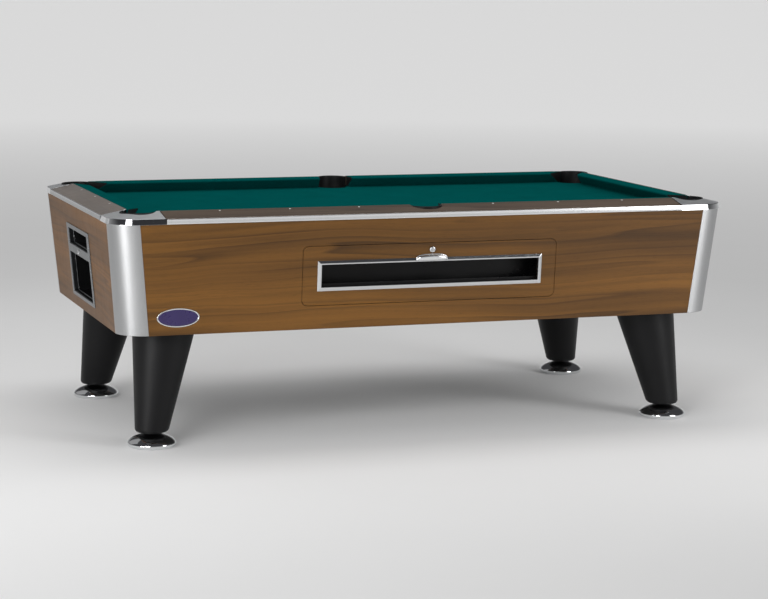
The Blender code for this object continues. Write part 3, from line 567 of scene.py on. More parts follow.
def walnut_finish(name, turn, shift, colours, roughness, gloss, coat, bump):
    """Walnut laminate under a thin clear coat."""
    light, dark, lines = colours
    values = {"Specular IOR Level": gloss, "Coat Weight": coat, "Coat Roughness": COAT_ROUGHNESS}
    material, tree, shader, place = new_finish(name, values)
    figure = use_group(tree, "figure", stretched(tree, place, place=shift, turn=turn), Wander=0.08)
    smudge = use_group(tree, "smudges", place, Scale=3.0)["Mask"]
    rub = use_group(tree, "rubbed", place, Radius=0.0012, Amount=0.35)["Mask"]
    colour = mix_colour(tree, figure["Tone"], dark, light)
    for part, share in (("Growth", GROWTH_SHARE), ("Pore", PORE_SHARE)):
        colour = mix_colour(tree, times(tree, figure[part], share), colour, lines)
    colour = mix_colour(tree, rub, colour, light)
    rough = varied(tree, smudge, roughness, less=0.05, more=0.06)
    join_finish(tree, shader, colour, rough, figure["Relief"], bump, WOOD_DEPTH)
    return material


def metal_finish(name, turn, colour, shade, roughness, spread, density=900.0, bump=0.05, dust=0.0, drawn=0.0):
    """Bare metal with fine lines along one direction, rubbed edges and highlights drawn out upright."""
    values = {"Metallic": 1.0, "Anisotropic": drawn, "Anisotropic Rotation": UPRIGHT_HIGHLIGHT}
    material, tree, shader, place = new_finish(name, values)
    streaks = use_group(tree, "streaks", stretched(tree, place, turn=turn), Density=density)
    smudge = use_group(tree, "smudges", place, Scale=5.0)["Mask"]
    rub = use_group(tree, "rubbed", place, Radius=0.001, Amount=0.5)["Mask"]
    tone = mix_colour(tree, streaks["Streak"], shade, colour)
    tone = dusted(tree, place, mix_colour(tree, rub, tone, RUBBED_METAL), dust, METAL_DUST)
    worn = blend(tree, streaks["Streak"], smudge, SMUDGE_SHARE)
    rough = between(tree, worn, low=0.25, high=0.75, start=roughness - spread, end=roughness + spread)
    join_finish(tree, shader, tone, rough, streaks["Relief"], bump, METAL_DEPTH)
    return material


def cloth_finish(name, turn):
    """Green billiard cloth with a soft nap."""
    sheen = {"Sheen Weight": 0.04, "Sheen Roughness": 0.5, "Sheen Tint": CLOTH_SHEEN}
    material, tree, shader, place = new_finish(name, {"Specular IOR Level": 0.0, **sheen})
    nap = use_group(tree, "nap", stretched(tree, place, turn=turn), Threads=1100.0)
    tone = mix_colour(tree, nap["Tone"], CLOTH_SHADE, CLOTH)
    tone = dusted(tree, place, tone, CHALK_AMOUNT, CLOTH_DUST)
    join_finish(tree, shader, tone, CLOTH_ROUGHNESS, nap["Relief"], CLOTH_BUMP, CLOTH_DEPTH)
    return material


def black_finish(name, colour, shade, roughness, spread, scale, bump, dust):
    """Moulded, sprayed or rubber black with a fine grain."""
    material, tree, shader, place = new_finish(name, {"Specular IOR Level": 0.2})
    grain = use_group(tree, "grain", place, Scale=scale)
    smudge = use_group(tree, "smudges", place, Scale=6.0)["Mask"]
    rub = use_group(tree, "rubbed", place, Radius=0.002, Amount=0.6)["Mask"]
    tone = mix_colour(tree, grain["Tone"], shade, colour)
    tone = dusted(tree, place, mix_colour(tree, rub, tone, RUBBED_BLACK), dust, BLACK_DUST)
    rough = varied(tree, smudge, roughness, less=spread, more=spread)
    join_finish(tree, shader, tone, rough, grain["Relief"], bump, BLACK_DEPTH)
    return material


def plain_finish(name, colour, shade, roughness, scale, bump):
    """Unlacquered board, slate, enamel or inlay: an even colour with fine variation."""
    material, tree, shader, place = new_finish(name, {})
    fine = noise(tree, place, scale, detail=4.0, roughness=0.6)
    smudge = use_group(tree, "smudges", place, Scale=8.0)["Mask"]
    tone = mix_colour(tree, between(tree, fine, low=0.3, high=0.7), shade, colour)
    rough = varied(tree, smudge, roughness, less=0.06, more=0.06)
    join_finish(tree, shader, tone, rough, fine, bump, PLAIN_DEPTH)
    return material


FINISHES = {
    "front_wood": walnut_finish(
        "walnut_long_boards", ALONG_TABLE, (0.3, 0.0, 0.05), WALNUT,
        roughness=0.44, gloss=0.27, coat=0.05, bump=0.10,
    ),
    "end_wood": walnut_finish(
        "walnut_end_boards_and_painted_sheen", ACROSS_TABLE, (0.9, 2.0, 0.31), END_WALNUT_AND_SHEEN,
        roughness=0.50, gloss=0.40, coat=0.0, bump=0.10,
    ),
    "long_rail": walnut_finish(
        "dark_long_rails", LONG_RAIL_TOP, (1.7, 0.3, 0.0), RAIL_WALNUT,
        roughness=0.40, gloss=0.25, coat=0.35, bump=0.03,
    ),
    "end_rail": walnut_finish(
        "dark_end_rails", END_RAIL_TOP, (2.6, 0.9, 0.0), RAIL_WALNUT,
        roughness=0.38, gloss=0.25, coat=0.70, bump=0.03,
    ),
    "post": metal_finish(
        "satin_posts", UPRIGHT, (0.52, 0.525, 0.53), (0.43, 0.435, 0.44),
        roughness=0.43, spread=0.04, drawn=0.45,
    ),
    "long_trim": metal_finish(
        "bright_long_trim", ALONG_TABLE, (0.95, 0.955, 0.96), (0.87, 0.88, 0.89),
        roughness=0.18, spread=0.015, bump=0.01,
    ),
    # Painted shade: the end trims are the same bright metal as the long ones, coloured darker for how they
    # are lit
    "end_trim": metal_finish(
        "end_trim_with_painted_shade", ACROSS_TABLE, (0.50, 0.51, 0.52), (0.41, 0.42, 0.43),
        roughness=0.22, spread=0.05,
    ),
    "frame": metal_finish(
        "bright_window_frame", ALONG_TABLE, (0.80, 0.81, 0.82), (0.68, 0.69, 0.70),
        roughness=0.11, spread=0.04,
    ),
    "pull": metal_finish(
        "bright_door_pull", ALONG_TABLE, (0.90, 0.91, 0.92), (0.82, 0.83, 0.84),
        roughness=0.22, spread=0.05,
    ),
    "bezel": metal_finish(
        "satin_coin_bezel", ACROSS_TABLE, (0.23, 0.24, 0.25), (0.17, 0.18, 0.19),
        roughness=0.30, spread=0.06, dust=0.1,
    ),
    # Painted shade: the lips inside the bezel's openings are coloured near black for the shade in the recess
    "return": metal_finish(
        "recess_lips_painted_shade", ACROSS_TABLE, (0.060, 0.062, 0.065), (0.040, 0.042, 0.044),
        roughness=0.36, spread=0.06,
    ),
    "casting": metal_finish(
        "satin_castings", ALONG_TABLE, (0.94, 0.955, 0.965), (0.82, 0.84, 0.86),
        roughness=0.44, spread=0.06, density=500.0, bump=0.03, dust=0.08,
    ),
    "casting_lip": metal_finish(
        "polished_casting_lip", ALONG_TABLE, (0.62, 0.63, 0.64), (0.56, 0.57, 0.58),
        roughness=0.06, spread=0.02, bump=0.01,
    ),
    "chrome": metal_finish(
        "polished_chrome", ALONG_TABLE, (0.80, 0.81, 0.82), (0.74, 0.75, 0.76),
        roughness=0.10, spread=0.03, density=400.0, bump=0.01,
    ),
    # Painted shade: steel darker than bare, so the ball runs seen down the pockets look dark; the hinge pins
    # share it
    "steel": metal_finish(
        "steel_darkened_as_painted_shade", ALONG_TABLE, (0.20, 0.205, 0.21), (0.13, 0.133, 0.137),
        roughness=0.48, spread=0.08, density=500.0, bump=0.08, dust=0.3,
    ),
    "bed_cloth": cloth_finish("green_bed_cloth", ALONG_TABLE),
    "cushion_cloth": cloth_finish("green_cushion_cloth", ACROSS_TABLE),
    "rubber": black_finish(
        "black_rubber_and_painted_shade", (0.0060, 0.0060, 0.0064), (0.0035, 0.0035, 0.0038),
        roughness=0.50, spread=0.1, scale=1200.0, bump=0.10, dust=0.05,
    ),
    "leg": black_finish(
        "satin_black_legs", (0.0055, 0.0055, 0.006), (0.0035, 0.0035, 0.004),
        roughness=0.46, spread=0.05, scale=420.0, bump=0.16, dust=0.1,
    ),
    # Painted shade: the ball tray and the recess box are coloured near black for the shade inside the cabinet
    "inside": black_finish(
        "black_inside_painted_shade", (0.0040, 0.0040, 0.0043), (0.0022, 0.0022, 0.0024),
        roughness=0.34, spread=0.1, scale=500.0, bump=0.05, dust=0.06,
    ),
    # Painted shade: the cabinet's underside is coloured near black for the shade under the table
    "underside": plain_finish(
        "underside_painted_shade", (0.016, 0.015, 0.014), (0.010, 0.0095, 0.009),
        roughness=0.75, scale=120.0, bump=0.20,
    ),
    "board": plain_finish(
        "plain_board", (0.33, 0.235, 0.15), (0.24, 0.165, 0.10),
        roughness=0.70, scale=120.0, bump=0.20,
    ),
    "slate": plain_finish(
        "honed_slate", (0.095, 0.10, 0.105), (0.07, 0.075, 0.08),
        roughness=0.75, scale=60.0, bump=0.15,
    ),
    "enamel": plain_finish(
        "violet_enamel", (0.024, 0.014, 0.080), (0.021, 0.012, 0.072),
        roughness=0.30, scale=30.0, bump=0.0,
    ),
    "inlay": plain_finish(
        "pale_inlay", (0.62, 0.62, 0.60), (0.54, 0.54, 0.52),
        roughness=0.40, scale=200.0, bump=0.03,
    ),
}


# Mesh making


def skin(bm, rings, closed=False, open_rings=False):
    """Lays faces from ring to ring, and gives back the rows of corners."""
    rows = [[bm.verts.new(point) for point in ring] for ring in rings]
    count = len(rows[0])
    for low, high in zip(rows, rows[1:] + rows[:1] if closed else rows[1:]):
        for i in range(count - 1 if open_rings else count):
            j = (i + 1) % count
            bm.faces.new((low[i], low[j], high[j], high[i]))
    return rows


def fill_end(bm, loops):
    """Closes an end. The first loop is its edge, and the others are holes in it."""
    if len(loops) == 1:
        bm.faces.new(loops[0])
        return
    corners = [vert for loop in loops for vert in loop]
    for triangle in tessellate_polygon([[vert.co for vert in loop] for loop in loops]):
        bm.faces.new([corners[i] for i in triangle])


def loft(rings, bm=None, first_cap=True, last_cap=True, closed=False):
    """A skin over rings of points, capped at its ends or joined round to its start."""
    bm = bm or bmesh.new()
    rows = skin(bm, rings, closed)
    if first_cap and not closed:
        bm.faces.new(rows[0])
    if last_cap and not closed:
        bm.faces.new(rows[-1])
    return bm


def turned(profile, steps):
    """A solid turned about local Z, from (radius, height) points."""
    rings = []
    for x, y in circle((0.0, 0.0), 1.0, steps):
        rings.append([(radius * x, radius * y, z) for radius, z in profile])
    bm = bmesh.new()
    skin(bm, rings, closed=True, open_rings=True)
    bmesh.ops.remove_doubles(bm, verts=bm.verts, dist=WELD)
    flat = [face for face in bm.faces if face.calc_area() < WELD**2]
    bmesh.ops.delete(bm, geom=flat, context="FACES")
    return bm


def dress(name, bm, finishes, node=None, body="table"):
    """Makes a piece that rides on a body, stands for a solid and takes its finishes."""
    bmesh.ops.recalc_face_normals(bm, faces=bm.faces)
    mesh = bpy.data.meshes.new(name)
    bm.to_mesh(mesh)
    bm.free()
    mesh.shade_smooth()
    mesh.set_sharp_from_angle(angle=CRISP_ANGLE)
    for finish in finishes.split():
        mesh.materials.append(FINISHES[finish])
    piece = bpy.data.objects.new(name, mesh)
    bpy.context.scene.collection.objects.link(piece)
    even = piece.modifiers.new("even_shading", "WEIGHTED_NORMAL")
    even.keep_sharp = True
    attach(piece, body)
    if node:
        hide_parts(node)
    return piece


def even_steps(start, end, steps):
    return [start + (end - start) * i / steps for i in range(steps + 1)]


def arc(centre, radius, start, end, steps=ARC_STEPS):
    x, y = centre
    return [(x + radius * math.cos(a), y + radius * math.sin(a)) for a in even_steps(start, end, steps)]


def circle(centre, radius, steps=ROUND_STEPS):
    return arc(centre, radius, 0.0, math.tau, steps)[:-1]


def rounded(low, high, radius, steps):
    """A rectangle with round corners, as a function of how far it is grown."""

    def outline(grow=0.0):
        x0, y0 = (value + radius for value in low)
        x1, y1 = (value - radius for value in high)
        points = []
        for i, centre in enumerate(((x1, y1), (x0, y1), (x0, y0), (x1, y0))):
            points += arc(centre, radius + grow, i * QUARTER, (i + 1) * QUARTER, steps)
        return points

    return outline


def soft_edge(radius, steps=EDGE_STEPS):
    """(inset, depth) points of a rounded edge, from the face round to the side."""
    return [(radius * (1 - math.sin(a)), radius * (1 - math.cos(a))) for a in even_steps(0.0, QUARTER, steps)]


def inset(outline, distance):
    """A closed outline moved inwards by a distance, whichever way it runs."""
    following = outline[1:] + outline[:1]
    area = sum(x0 * y1 - x1 * y0 for (x0, y0), (x1, y1) in zip(outline, following))
    inward = distance if area > 0 else -distance
    points = []
    for i, point in enumerate(outline):
        before = (Vector(point) - Vector(outline[i - 1])).normalized()
        after = (Vector(following[i]) - Vector(point)).normalized()
        normal = Vector((-before.y - after.y, before.x + after.x))
        points.append(tuple(Vector(point) + normal * inward / (1 + before.dot(after))))
    return points


def soft_corners(points, radii, steps=4):
    """A closed outline with each corner rounded by its own radius."""
    made = []
    for i, radius in enumerate(radii):
        here = Vector(points[i])
        back = (Vector(points[i - 1]) - here).normalized()
        on = (Vector(points[(i + 1) % len(points)]) - here).normalized()
        half = math.acos(max(-1.0, min(1.0, back.dot(on)))) / 2
        reach = radius / math.tan(half)
        centre = here + (back + on).normalized() * radius / math.sin(half)
        first = here + back * reach - centre
        last = here + on * reach - centre
        made += [tuple(centre + first.slerp(last, j / steps) * radius) for j in range(steps + 1)]
    return made


def level(points, z):
    return [(x, y, z) for x, y in points]


def laid(place, points, depth):
    """An outline put in its place on a leaning face, at a depth behind it."""
    return [place(u, z, depth) for u, z in points]


def mirrored(rings, corner):
    """Rings drawn for the corner at +X and +Y, moved to another corner."""
    sx, sy = CORNERS[corner]
    return [[(sx * x, sy * y, z) for x, y, z in ring] for ring in rings]


def long_or_end(side, on_long, on_end):
    return on_long if side in ("front", "back") else on_end


def face_inset(z):
    """How far the cabinet's face lies inside the trim at a height."""
    return PANEL_INSET + PANEL_LEAN * (CABINET_TOP - z) / (CABINET_TOP - CABINET_BOTTOM)


def level_on_side(side):
    """A function that puts (along, in from the trim, height) in its place on a side."""
    half, turn = SIDES[side]
    spin = Matrix.Rotation(turn, 3, "Z")
    return lambda u, across, z: spin @ Vector((u, -(half - across), z))


def on_side(side):
    """A function that puts (along, height, depth behind the leaning face) in its place on a side."""
    place = level_on_side(side)
    return lambda u, z, depth: place(u, face_inset(z) + depth, z)


def square_to_face(side, z):
    """A frame in the middle of the leaning face whose local +Z points straight out."""
    spin = Matrix.Rotation(SIDES[side][1], 4, "Z")
    spot = Matrix.Translation(on_side(side)(0.0, z, 0.0))
    return spot @ spin @ Matrix.Rotation(LEAN_ANGLE + QUARTER, 4, "X")


def soft_plate(place, outline, holes, front, back, edge):
    """A leaning sheet with rounded front edges, round its rim and its holes."""
    bm = bmesh.new()
    walls = []
    for shape, way in [(outline, -1), *((hole, 1) for hole in holes)]:
        rings = [laid(place, shape(way * inward), front + depth) for inward, depth in soft_edge(edge)]
        walls.append(skin(bm, [*rings, laid(place, shape(), back)]))
    for end in (0, -1):
        fill_end(bm, [rows[end] for rows in walls])
    return bm


# Cabinet


def board_outline(side):
    along = long_or_end(side, HALF_LENGTH, HALF_WIDTH)

    def reach(z):
        return along - face_inset(z) - POST_RADIUS - SEAT

    def outline(grow=0.0):
        low, high = reach(CABINET_BOTTOM) + grow, reach(CABINET_TOP) + grow
        bottom, top = CABINET_BOTTOM - grow, CABINET_TOP + grow
        return [(-low, bottom), (low, bottom), (high, top), (-high, top)]

    return outline


def door_outline(gap):
    half = DOOR_WIDTH / 2 + gap
    return rounded((-half, DOOR_BOTTOM - gap), (half, DOOR_TOP + gap), DOOR_CORNER + gap, steps=8)


def window_outline(border, steps):
    """The window's edge moved out by a border, with corners that stay nearly square."""
    half = WINDOW_WIDTH / 2 + border
    return rounded((-half, WINDOW_BOTTOM - border), (half, WINDOW_TOP + border), FRAME_CORNER, steps)


def end_outline(width, low, high):
    return rounded((-width / 2, low), (width / 2, high), BEZEL_CORNER, steps=5)


def cabinet_boards():
    """Leaning boards, open for the access door and behind the coin bezel."""
    recess = end_outline(BEZEL_WIDTH - 2 * BEZEL_LAP, BEZEL_BOTTOM + BEZEL_LAP, BEZEL_TOP - BEZEL_LAP)
    holes = {"front": [door_outline(DOOR_GAP)], "left": [recess]}
    for side in SIDES:
        outline = board_outline(side)
        shape = soft_plate(on_side(side), outline, holes.get(side, []), 0.0, PANEL_THICKNESS, BOARD_EDGE)
        finish = long_or_end(side, "front_wood", "end_wood")
        dress(f"{side}_board", shape, finish, long_or_end(side, f"{side}_panel", f"{side}_end_panel"))


def corner_posts():
    """Rounded metal posts with flanges behind the boards and a soft lower rim."""
    inner = POST_RADIUS - POST_WALL
    back = POST_RADIUS - PANEL_THICKNESS
    turn_in = math.asin(POST_FLANGE / inner)
    levels = [(CABINET_BOTTOM + depth, inward) for inward, depth in soft_edge(POST_EDGE)]
    rings = []
    for z, inward in [*levels, (CABINET_TOP, 0.0)]:
        cx = HALF_LENGTH - face_inset(z) - POST_RADIUS
        cy = HALF_WIDTH - face_inset(z) - POST_RADIUS
        outer = POST_RADIUS - inward
        roll = POST_ROLL / outer
        outline = [(cx, cy + outer - POST_ROLL)]
        outline += arc((cx, cy), outer, QUARTER - roll, roll)
        outline += [(cx + outer - POST_ROLL, cy), (cx + back, cy), (cx + back, cy + POST_FLANGE)]
        outline += arc((cx, cy), inner, turn_in, QUARTER - turn_in)
        outline += [(cx + POST_FLANGE, cy + back), (cx, cy + back)]
        rings.append(level(outline, z))
    for name in CORNERS:
        dress(f"post_shell_{name}", loft(mirrored(rings, name)), "post", f"corner_post_{name}")


def rail_top(across):
    return TRIM_TOP + (CREST - TRIM_TOP) * across / RAIL_WIDTH


def rail_reach(side):
    return long_or_end(side, CASTING_END_X, CASTING_END_Y) - SEAT


def edge_trims():
    """Bright metal strips, a little crowned, along the rails; the end ones darker, as painted shade."""
    middle = (RAIL_BOTTOM + TRIM_TOP) / 2
    half = (TRIM_TOP - RAIL_BOTTOM) / 2 - TRIM_EDGE_START
    section = [(TRIM_CROWN * share**2, middle + half * share) for share in even_steps(-1.0, 1.0, TRIM_STEPS)]
    section += [(TRIM_CROWN + inward, TRIM_TOP - drop) for inward, drop in TRIM_EDGE]
    section += [(TRIM_THICKNESS, TRIM_TOP), (TRIM_THICKNESS, RAIL_BOTTOM)]
    section += [(TRIM_CROWN + inward, RAIL_BOTTOM + drop) for inward, drop in reversed(TRIM_EDGE)]
    for side in SIDES:
        place = level_on_side(side)
        reach = rail_reach(side)
        rings = [[place(u, across, z) for across, z in section] for u in (-reach, reach)]
        finish = long_or_end(side, "long_trim", "end_trim")
        dress(f"edge_trim_{side}", loft(rings), finish, f"trim_{side}")


def rail_plan(side):
    """Plan of a rail's top as (along, in from the trim) points, hollowed for a side pocket."""
    reach = rail_reach(side)
    outer = TRIM_THICKNESS + SEAT
    hollow = []
    if side in ("front", "back"):
        centre = HALF_WIDTH - SIDE_POCKET_Y
        radius = SIDE_POCKET_RADIUS + SEAT
        start = math.asin((centre - RAIL_WIDTH) / radius)
        hollow = arc((0.0, centre), radius, -start, -math.pi + start, 2 * ARC_STEPS)
    return [(-reach, outer), (reach, outer), (reach, RAIL_WIDTH), *hollow, (-reach, RAIL_WIDTH)]


def rail_sights(side, place):
    """Pale discs, slightly domed, let into a rail's top."""
    sights = bmesh.new()
    for i in long_or_end(side, LONG_RAIL_SIGHTS, END_RAIL_SIGHTS):
        centre = (i * SIGHT_SPACING, RAIL_WIDTH - SIGHT_FROM_CREST)
        discs = []
        for share, rise in SIGHT_PROFILE:
            spots = circle(centre, SIGHT_RADIUS * share, ARC_STEPS)
            discs.append([place(u, across, rail_top(across) + rise) for u, across in spots])
        loft(discs, sights)
    dress(f"rail_sights_{side}", sights, "inlay")


def rail_caps():
    """Dark laminate rail tops that rise to the cushions, with their sights."""
    for side in SIDES:
        place = level_on_side(side)
        plan = rail_plan(side)
        rings = [[place(u, across, RAIL_BOTTOM) for u, across in plan]]
        for inward, depth in reversed(soft_edge(RAIL_EDGE)):
            rings.append([place(u, across, rail_top(across) - depth) for u, across in inset(plan, inward)])
        finish = long_or_end(side, "long_rail", "end_rail")
        dress(f"rail_cap_{side}", loft(rings), finish, f"rail_{side}")
        rail_sights(side, place)


def casting_edge(start, way):
    """How far a corner casting reaches from a point, along a way in plan."""
    (x, y), (dx, dy) = start, way
    reaches = []
    for at, step, outer, inner in ((x, dx, HALF_LENGTH, CASTING_END_X), (y, dy, HALF_WIDTH, CASTING_END_Y)):
        if step > 0:
            reaches.append((outer - at) / step)
        if step < 0:
            reaches.append((inner + SEAT - at) / step)
    reach = min(reaches)
    qx, qy = HALF_LENGTH - CASTING_RADIUS, HALF_WIDTH - CASTING_RADIUS
    if x + reach * dx > qx and y + reach * dy > qy:
        along = (x - qx) * dx + (y - qy) * dy
        gap = (x - qx) ** 2 + (y - qy) ** 2 - CASTING_RADIUS**2
        reach = min(reach, -along + math.sqrt(along**2 - gap))
    return reach


def casting_top(x, y):
    """Height of a corner casting's top, which falls from the crest to its outer edge."""
    if x <= CREST_X or y <= CREST_Y:
        share = max(x - CREST_X, y - CREST_Y) / RAIL_WIDTH
    else:
        away = Vector((x - CREST_X, y - CREST_Y))
        share = away.length / casting_edge((CREST_X, CREST_Y), tuple(away.normalized()))
    return CREST - (CREST - TRIM_TOP) * share


def casting_band():
    """(inward, drop) points of a casting's outer edge: a small round, then a flat polished band."""
    run = math.tan(CASTING_BAND_TILT) * (CASTING_BAND_DROP - CASTING_LIP * (1 - math.sin(CASTING_BAND_TILT)))
    centre = CASTING_LIP * math.cos(CASTING_BAND_TILT) + run
    points = []
    for angle in even_steps(QUARTER, CASTING_BAND_TILT, EDGE_STEPS + 1):
        points.append((centre - CASTING_LIP * math.cos(angle), CASTING_LIP * (1 - math.sin(angle))))
    return points + [(0.0, CASTING_BAND_DROP)]


def casting_ring(angle, lip, band):
    """A casting's section along an angle from the pocket: its lip there, its top and its outer band."""
    px, py = CORNER_POCKET
    dx, dy = math.cos(angle), math.sin(angle)
    near = CORNER_POCKET_RADIUS + SEAT
    if angle > QUARTER:
        near = max(near, (CREST_Y - py) / dy)
    if angle < 0:
        near = max(near, (CREST_X - px) / dx)
    far = max(casting_edge(CORNER_POCKET, (dx, dy)), near + CASTING_LEAST_REACH)
    ease = min(1.0, (far - near) / (2 * (CASTING_LIP + band[0][0])))

    def spot(reach, drop=None):
        x, y = px + reach * dx, py + reach * dy
        return (x, y, RAIL_BOTTOM if drop is None else casting_top(x, y) - drop)

    top = [spot(near + inward * ease, drop) for inward, drop in reversed(lip)]
    top += [spot(far - inward * ease, drop) for inward, drop in band]
    return [spot(near), *top, spot(far)]


def corner_castings():
    """Satin corner plates with a polished outer band, open round the pocket."""
    px, py = CORNER_POCKET
    pocket = CORNER_POCKET_RADIUS + SEAT
    end_x, end_y = CASTING_END_X + SEAT - px, CASTING_END_Y + SEAT - py
    crest_x, crest_y = CREST_X - px, CREST_Y - py
    first = math.atan2(crest_y, end_x) - CASTING_END_TURN
    last = math.atan2(end_y, crest_x) + CASTING_END_TURN
    angles = even_steps(first, last, FINE_STEPS)
    angles += [math.atan2(HALF_WIDTH - py, end_x), math.atan2(end_y, HALF_LENGTH - px)]
    angles += [math.pi - math.asin(crest_y / pocket), -math.acos(crest_x / pocket)]
    lip, band = soft_edge(CASTING_LIP), casting_band()
    rings = [casting_ring(angle, lip, band) for angle in sorted(angles, reverse=True)]
    around = len(rings[0])
    for name in CORNERS:
        shape = loft(mirrored(rings, name))
        shape.faces.ensure_lookup_table()
        # All but the two ends: painted shade, black, on the wall under the pocket's edge; polished on the
        # outer band
        for i, face in enumerate(shape.faces[:-2]):
            if i % around == 0:
                face.material_index = 2
            elif around - 1 - len(band) < i % around < around - 1:
                face.material_index = 1
        dress(f"corner_cap_{name}", shape, "casting casting_lip rubber", f"corner_casting_{name}")


# Bed, cushions and pockets


def pocket_places():
    """(centre, radius, outward angle, span of the liner, span of the cloth's fall) of each pocket."""
    places = {}
    for name, (sx, sy) in CORNERS.items():
        centre = (sx * CORNER_POCKET[0], sy * CORNER_POCKET[1])
        spans = (CORNER_LINER_SPAN, CORNER_FALL_SPAN)
        places[name] = (centre, CORNER_POCKET_RADIUS, math.atan2(sy, sx), *spans)
    for name, sy in (("front_side", -1), ("back_side", 1)):
        spans = (SIDE_LINER_SPAN, SIDE_FALL_SPAN)
        places[name] = ((0.0, sy * SIDE_POCKET_Y), SIDE_POCKET_RADIUS, sy * QUARTER, *spans)
    return places


POCKETS = pocket_places()


def pocket_lips():
    """Black rubber walls round the pockets, with a rolled upper edge."""
    roll = LINER_WALL / 2
    for name, ((x, y), radius, outward, span, _) in POCKETS.items():
        inner = radius - LINER_WALL
        section = [(inner + LINER_FLARE, SLATE_BOTTOM), (inner, SLATE_BOTTOM + LINER_FLARE_HEIGHT)]
        section += arc((inner + roll, LINER_TOP - roll), roll, math.pi, 0.0, ROLL_STEPS)
        section.append((radius, SLATE_BOTTOM))
        rings = []
        for angle in even_steps(outward - span / 2, outward + span / 2, 2 * ARC_STEPS):
            rings.append([(x + r * math.cos(angle), y + r * math.sin(angle), z) for r, z in section])
        dress(f"pocket_lip_{name}", loft(rings), "rubber", f"pocket_liner_{name}")


def cushion_cover(name, side, ends):
    """A cloth-covered cushion from nose to rail. Each end is given as (place on the nose, facing)."""
    place = level_on_side(side)
    back = RAIL_WIDTH + SEAT
    nose = RAIL_WIDTH + CUSHION_WIDTH
    low = CLOTH_TOP + SEAT
    nose_low = CLOTH_TOP + NOSE_HEIGHT - NOSE_FLAT / 2
    nose_top = CLOTH_TOP + NOSE_HEIGHT + NOSE_FLAT / 2
    corners = [
        (back, low),
        (back + CUSHION_FOOT, low),
        (nose, nose_low),
        (nose, nose_top),
        (back + CUSHION_WIDTH / 2, (CREST + nose_top) / 2 + CUSHION_CROWN),
        (back, CREST - CUSHION_BACK_DROP),
    ]
    section = soft_corners(corners, CUSHION_ROUNDS)
    centre = Vector((sum(p[0] for p in section), sum(p[1] for p in section))) / len(section)

    def ring(sign, end, along, shrink):
        """The section near an end, slanted by the facing there and pulled in towards its middle."""
        spot, facing = end
        points = []
        for across, z in section:
            pull = (centre - Vector((across, z))).normalized() * shrink
            a, h = across + pull.x, z + pull.y
            points.append(place(spot + sign * (nose - a) * math.tan(facing) - sign * along, a, h))
        return points

    first, last = ends
    rings = [ring(-1, first, depth, inward) for inward, depth in soft_edge(CUSHION_WRAP)]
    rings += [ring(1, last, depth, inward) for inward, depth in reversed(soft_edge(CUSHION_WRAP))]
    shape = loft(rings)
    shape.faces.ensure_lookup_table()
    # Painted shade: both end faces take the black rubber finish, for the shadow they lie in at the pockets
    for facing in shape.faces[-2:]:
        facing.material_index = 1
    cover = dress(f"cushion_cover_{name}", shape, "cushion_cloth rubber", f"cushion_{name}")


def cushion_covers():
    left_half = ((-CUSHION_END_X, CORNER_FACING), (-SIDE_MOUTH / 2, SIDE_FACING))
    right_half = ((SIDE_MOUTH / 2, SIDE_FACING), (CUSHION_END_X, CORNER_FACING))
    whole_end = ((-CUSHION_END_Y, CORNER_FACING), (CUSHION_END_Y, CORNER_FACING))
    cushion_cover("front_left", "front", left_half)
    cushion_cover("front_right", "front", right_half)
    cushion_cover("back_right", "back", left_half)
    cushion_cover("back_left", "back", right_half)
    cushion_cover("left_end", "left", whole_end)
    cushion_cover("right_end", "right", whole_end)


def cloth_outline(roll):
    """Plan of the bed cloth, with a round bite at each pocket that is opened out by the roll."""

    def to_edge(point, axis):
        x, y = point
        return (math.copysign(CLOTH_X, x), y) if axis == "x" else (x, math.copysign(CLOTH_Y, y))

    points = []
    for name, first, last in CLOTH_BITES:
        centre, radius, outward, _, span = POCKETS[name]
        inward = outward + math.pi
        bite = arc(centre, radius + roll, inward + span / 2, inward - span / 2)
        points += [to_edge(bite[0], first), *bite, to_edge(bite[-1], last)]
    return points


def bed_cloth():
    """The cloth, stretched over the slate and turned down at its edges and in the pockets."""
    rings = [level(cloth_outline(inward), CLOTH_TOP - depth) for inward, depth in soft_edge(CLOTH_ROLL)]
    rings.append(level(cloth_outline(0.0), CLOTH_TOP - CLOTH_FALL))
    shape = loft(rings, last_cap=False)
    area = sum(face.calc_area() for face in shape.faces)
    cloth = dress("bed_cloth_sheet", shape, "bed_cloth", "bed_cloth")


# Access door


def door_and_frame():
    place = on_side("front")
    hole = window_outline(WINDOW_LAP, steps=5)
    board = soft_plate(place, door_outline(0.0), [hole], 0.0, PANEL_THICKNESS, DOOR_EDGE)
    dress("door_board", board, "front_wood", "access_door", "door")
    rings = [laid(place, window_outline(border, steps=3)(), depth) for border, depth in FRAME_SECTION]
    dress("window_trim", loft(rings, closed=True), "frame", "window_frame", "door")


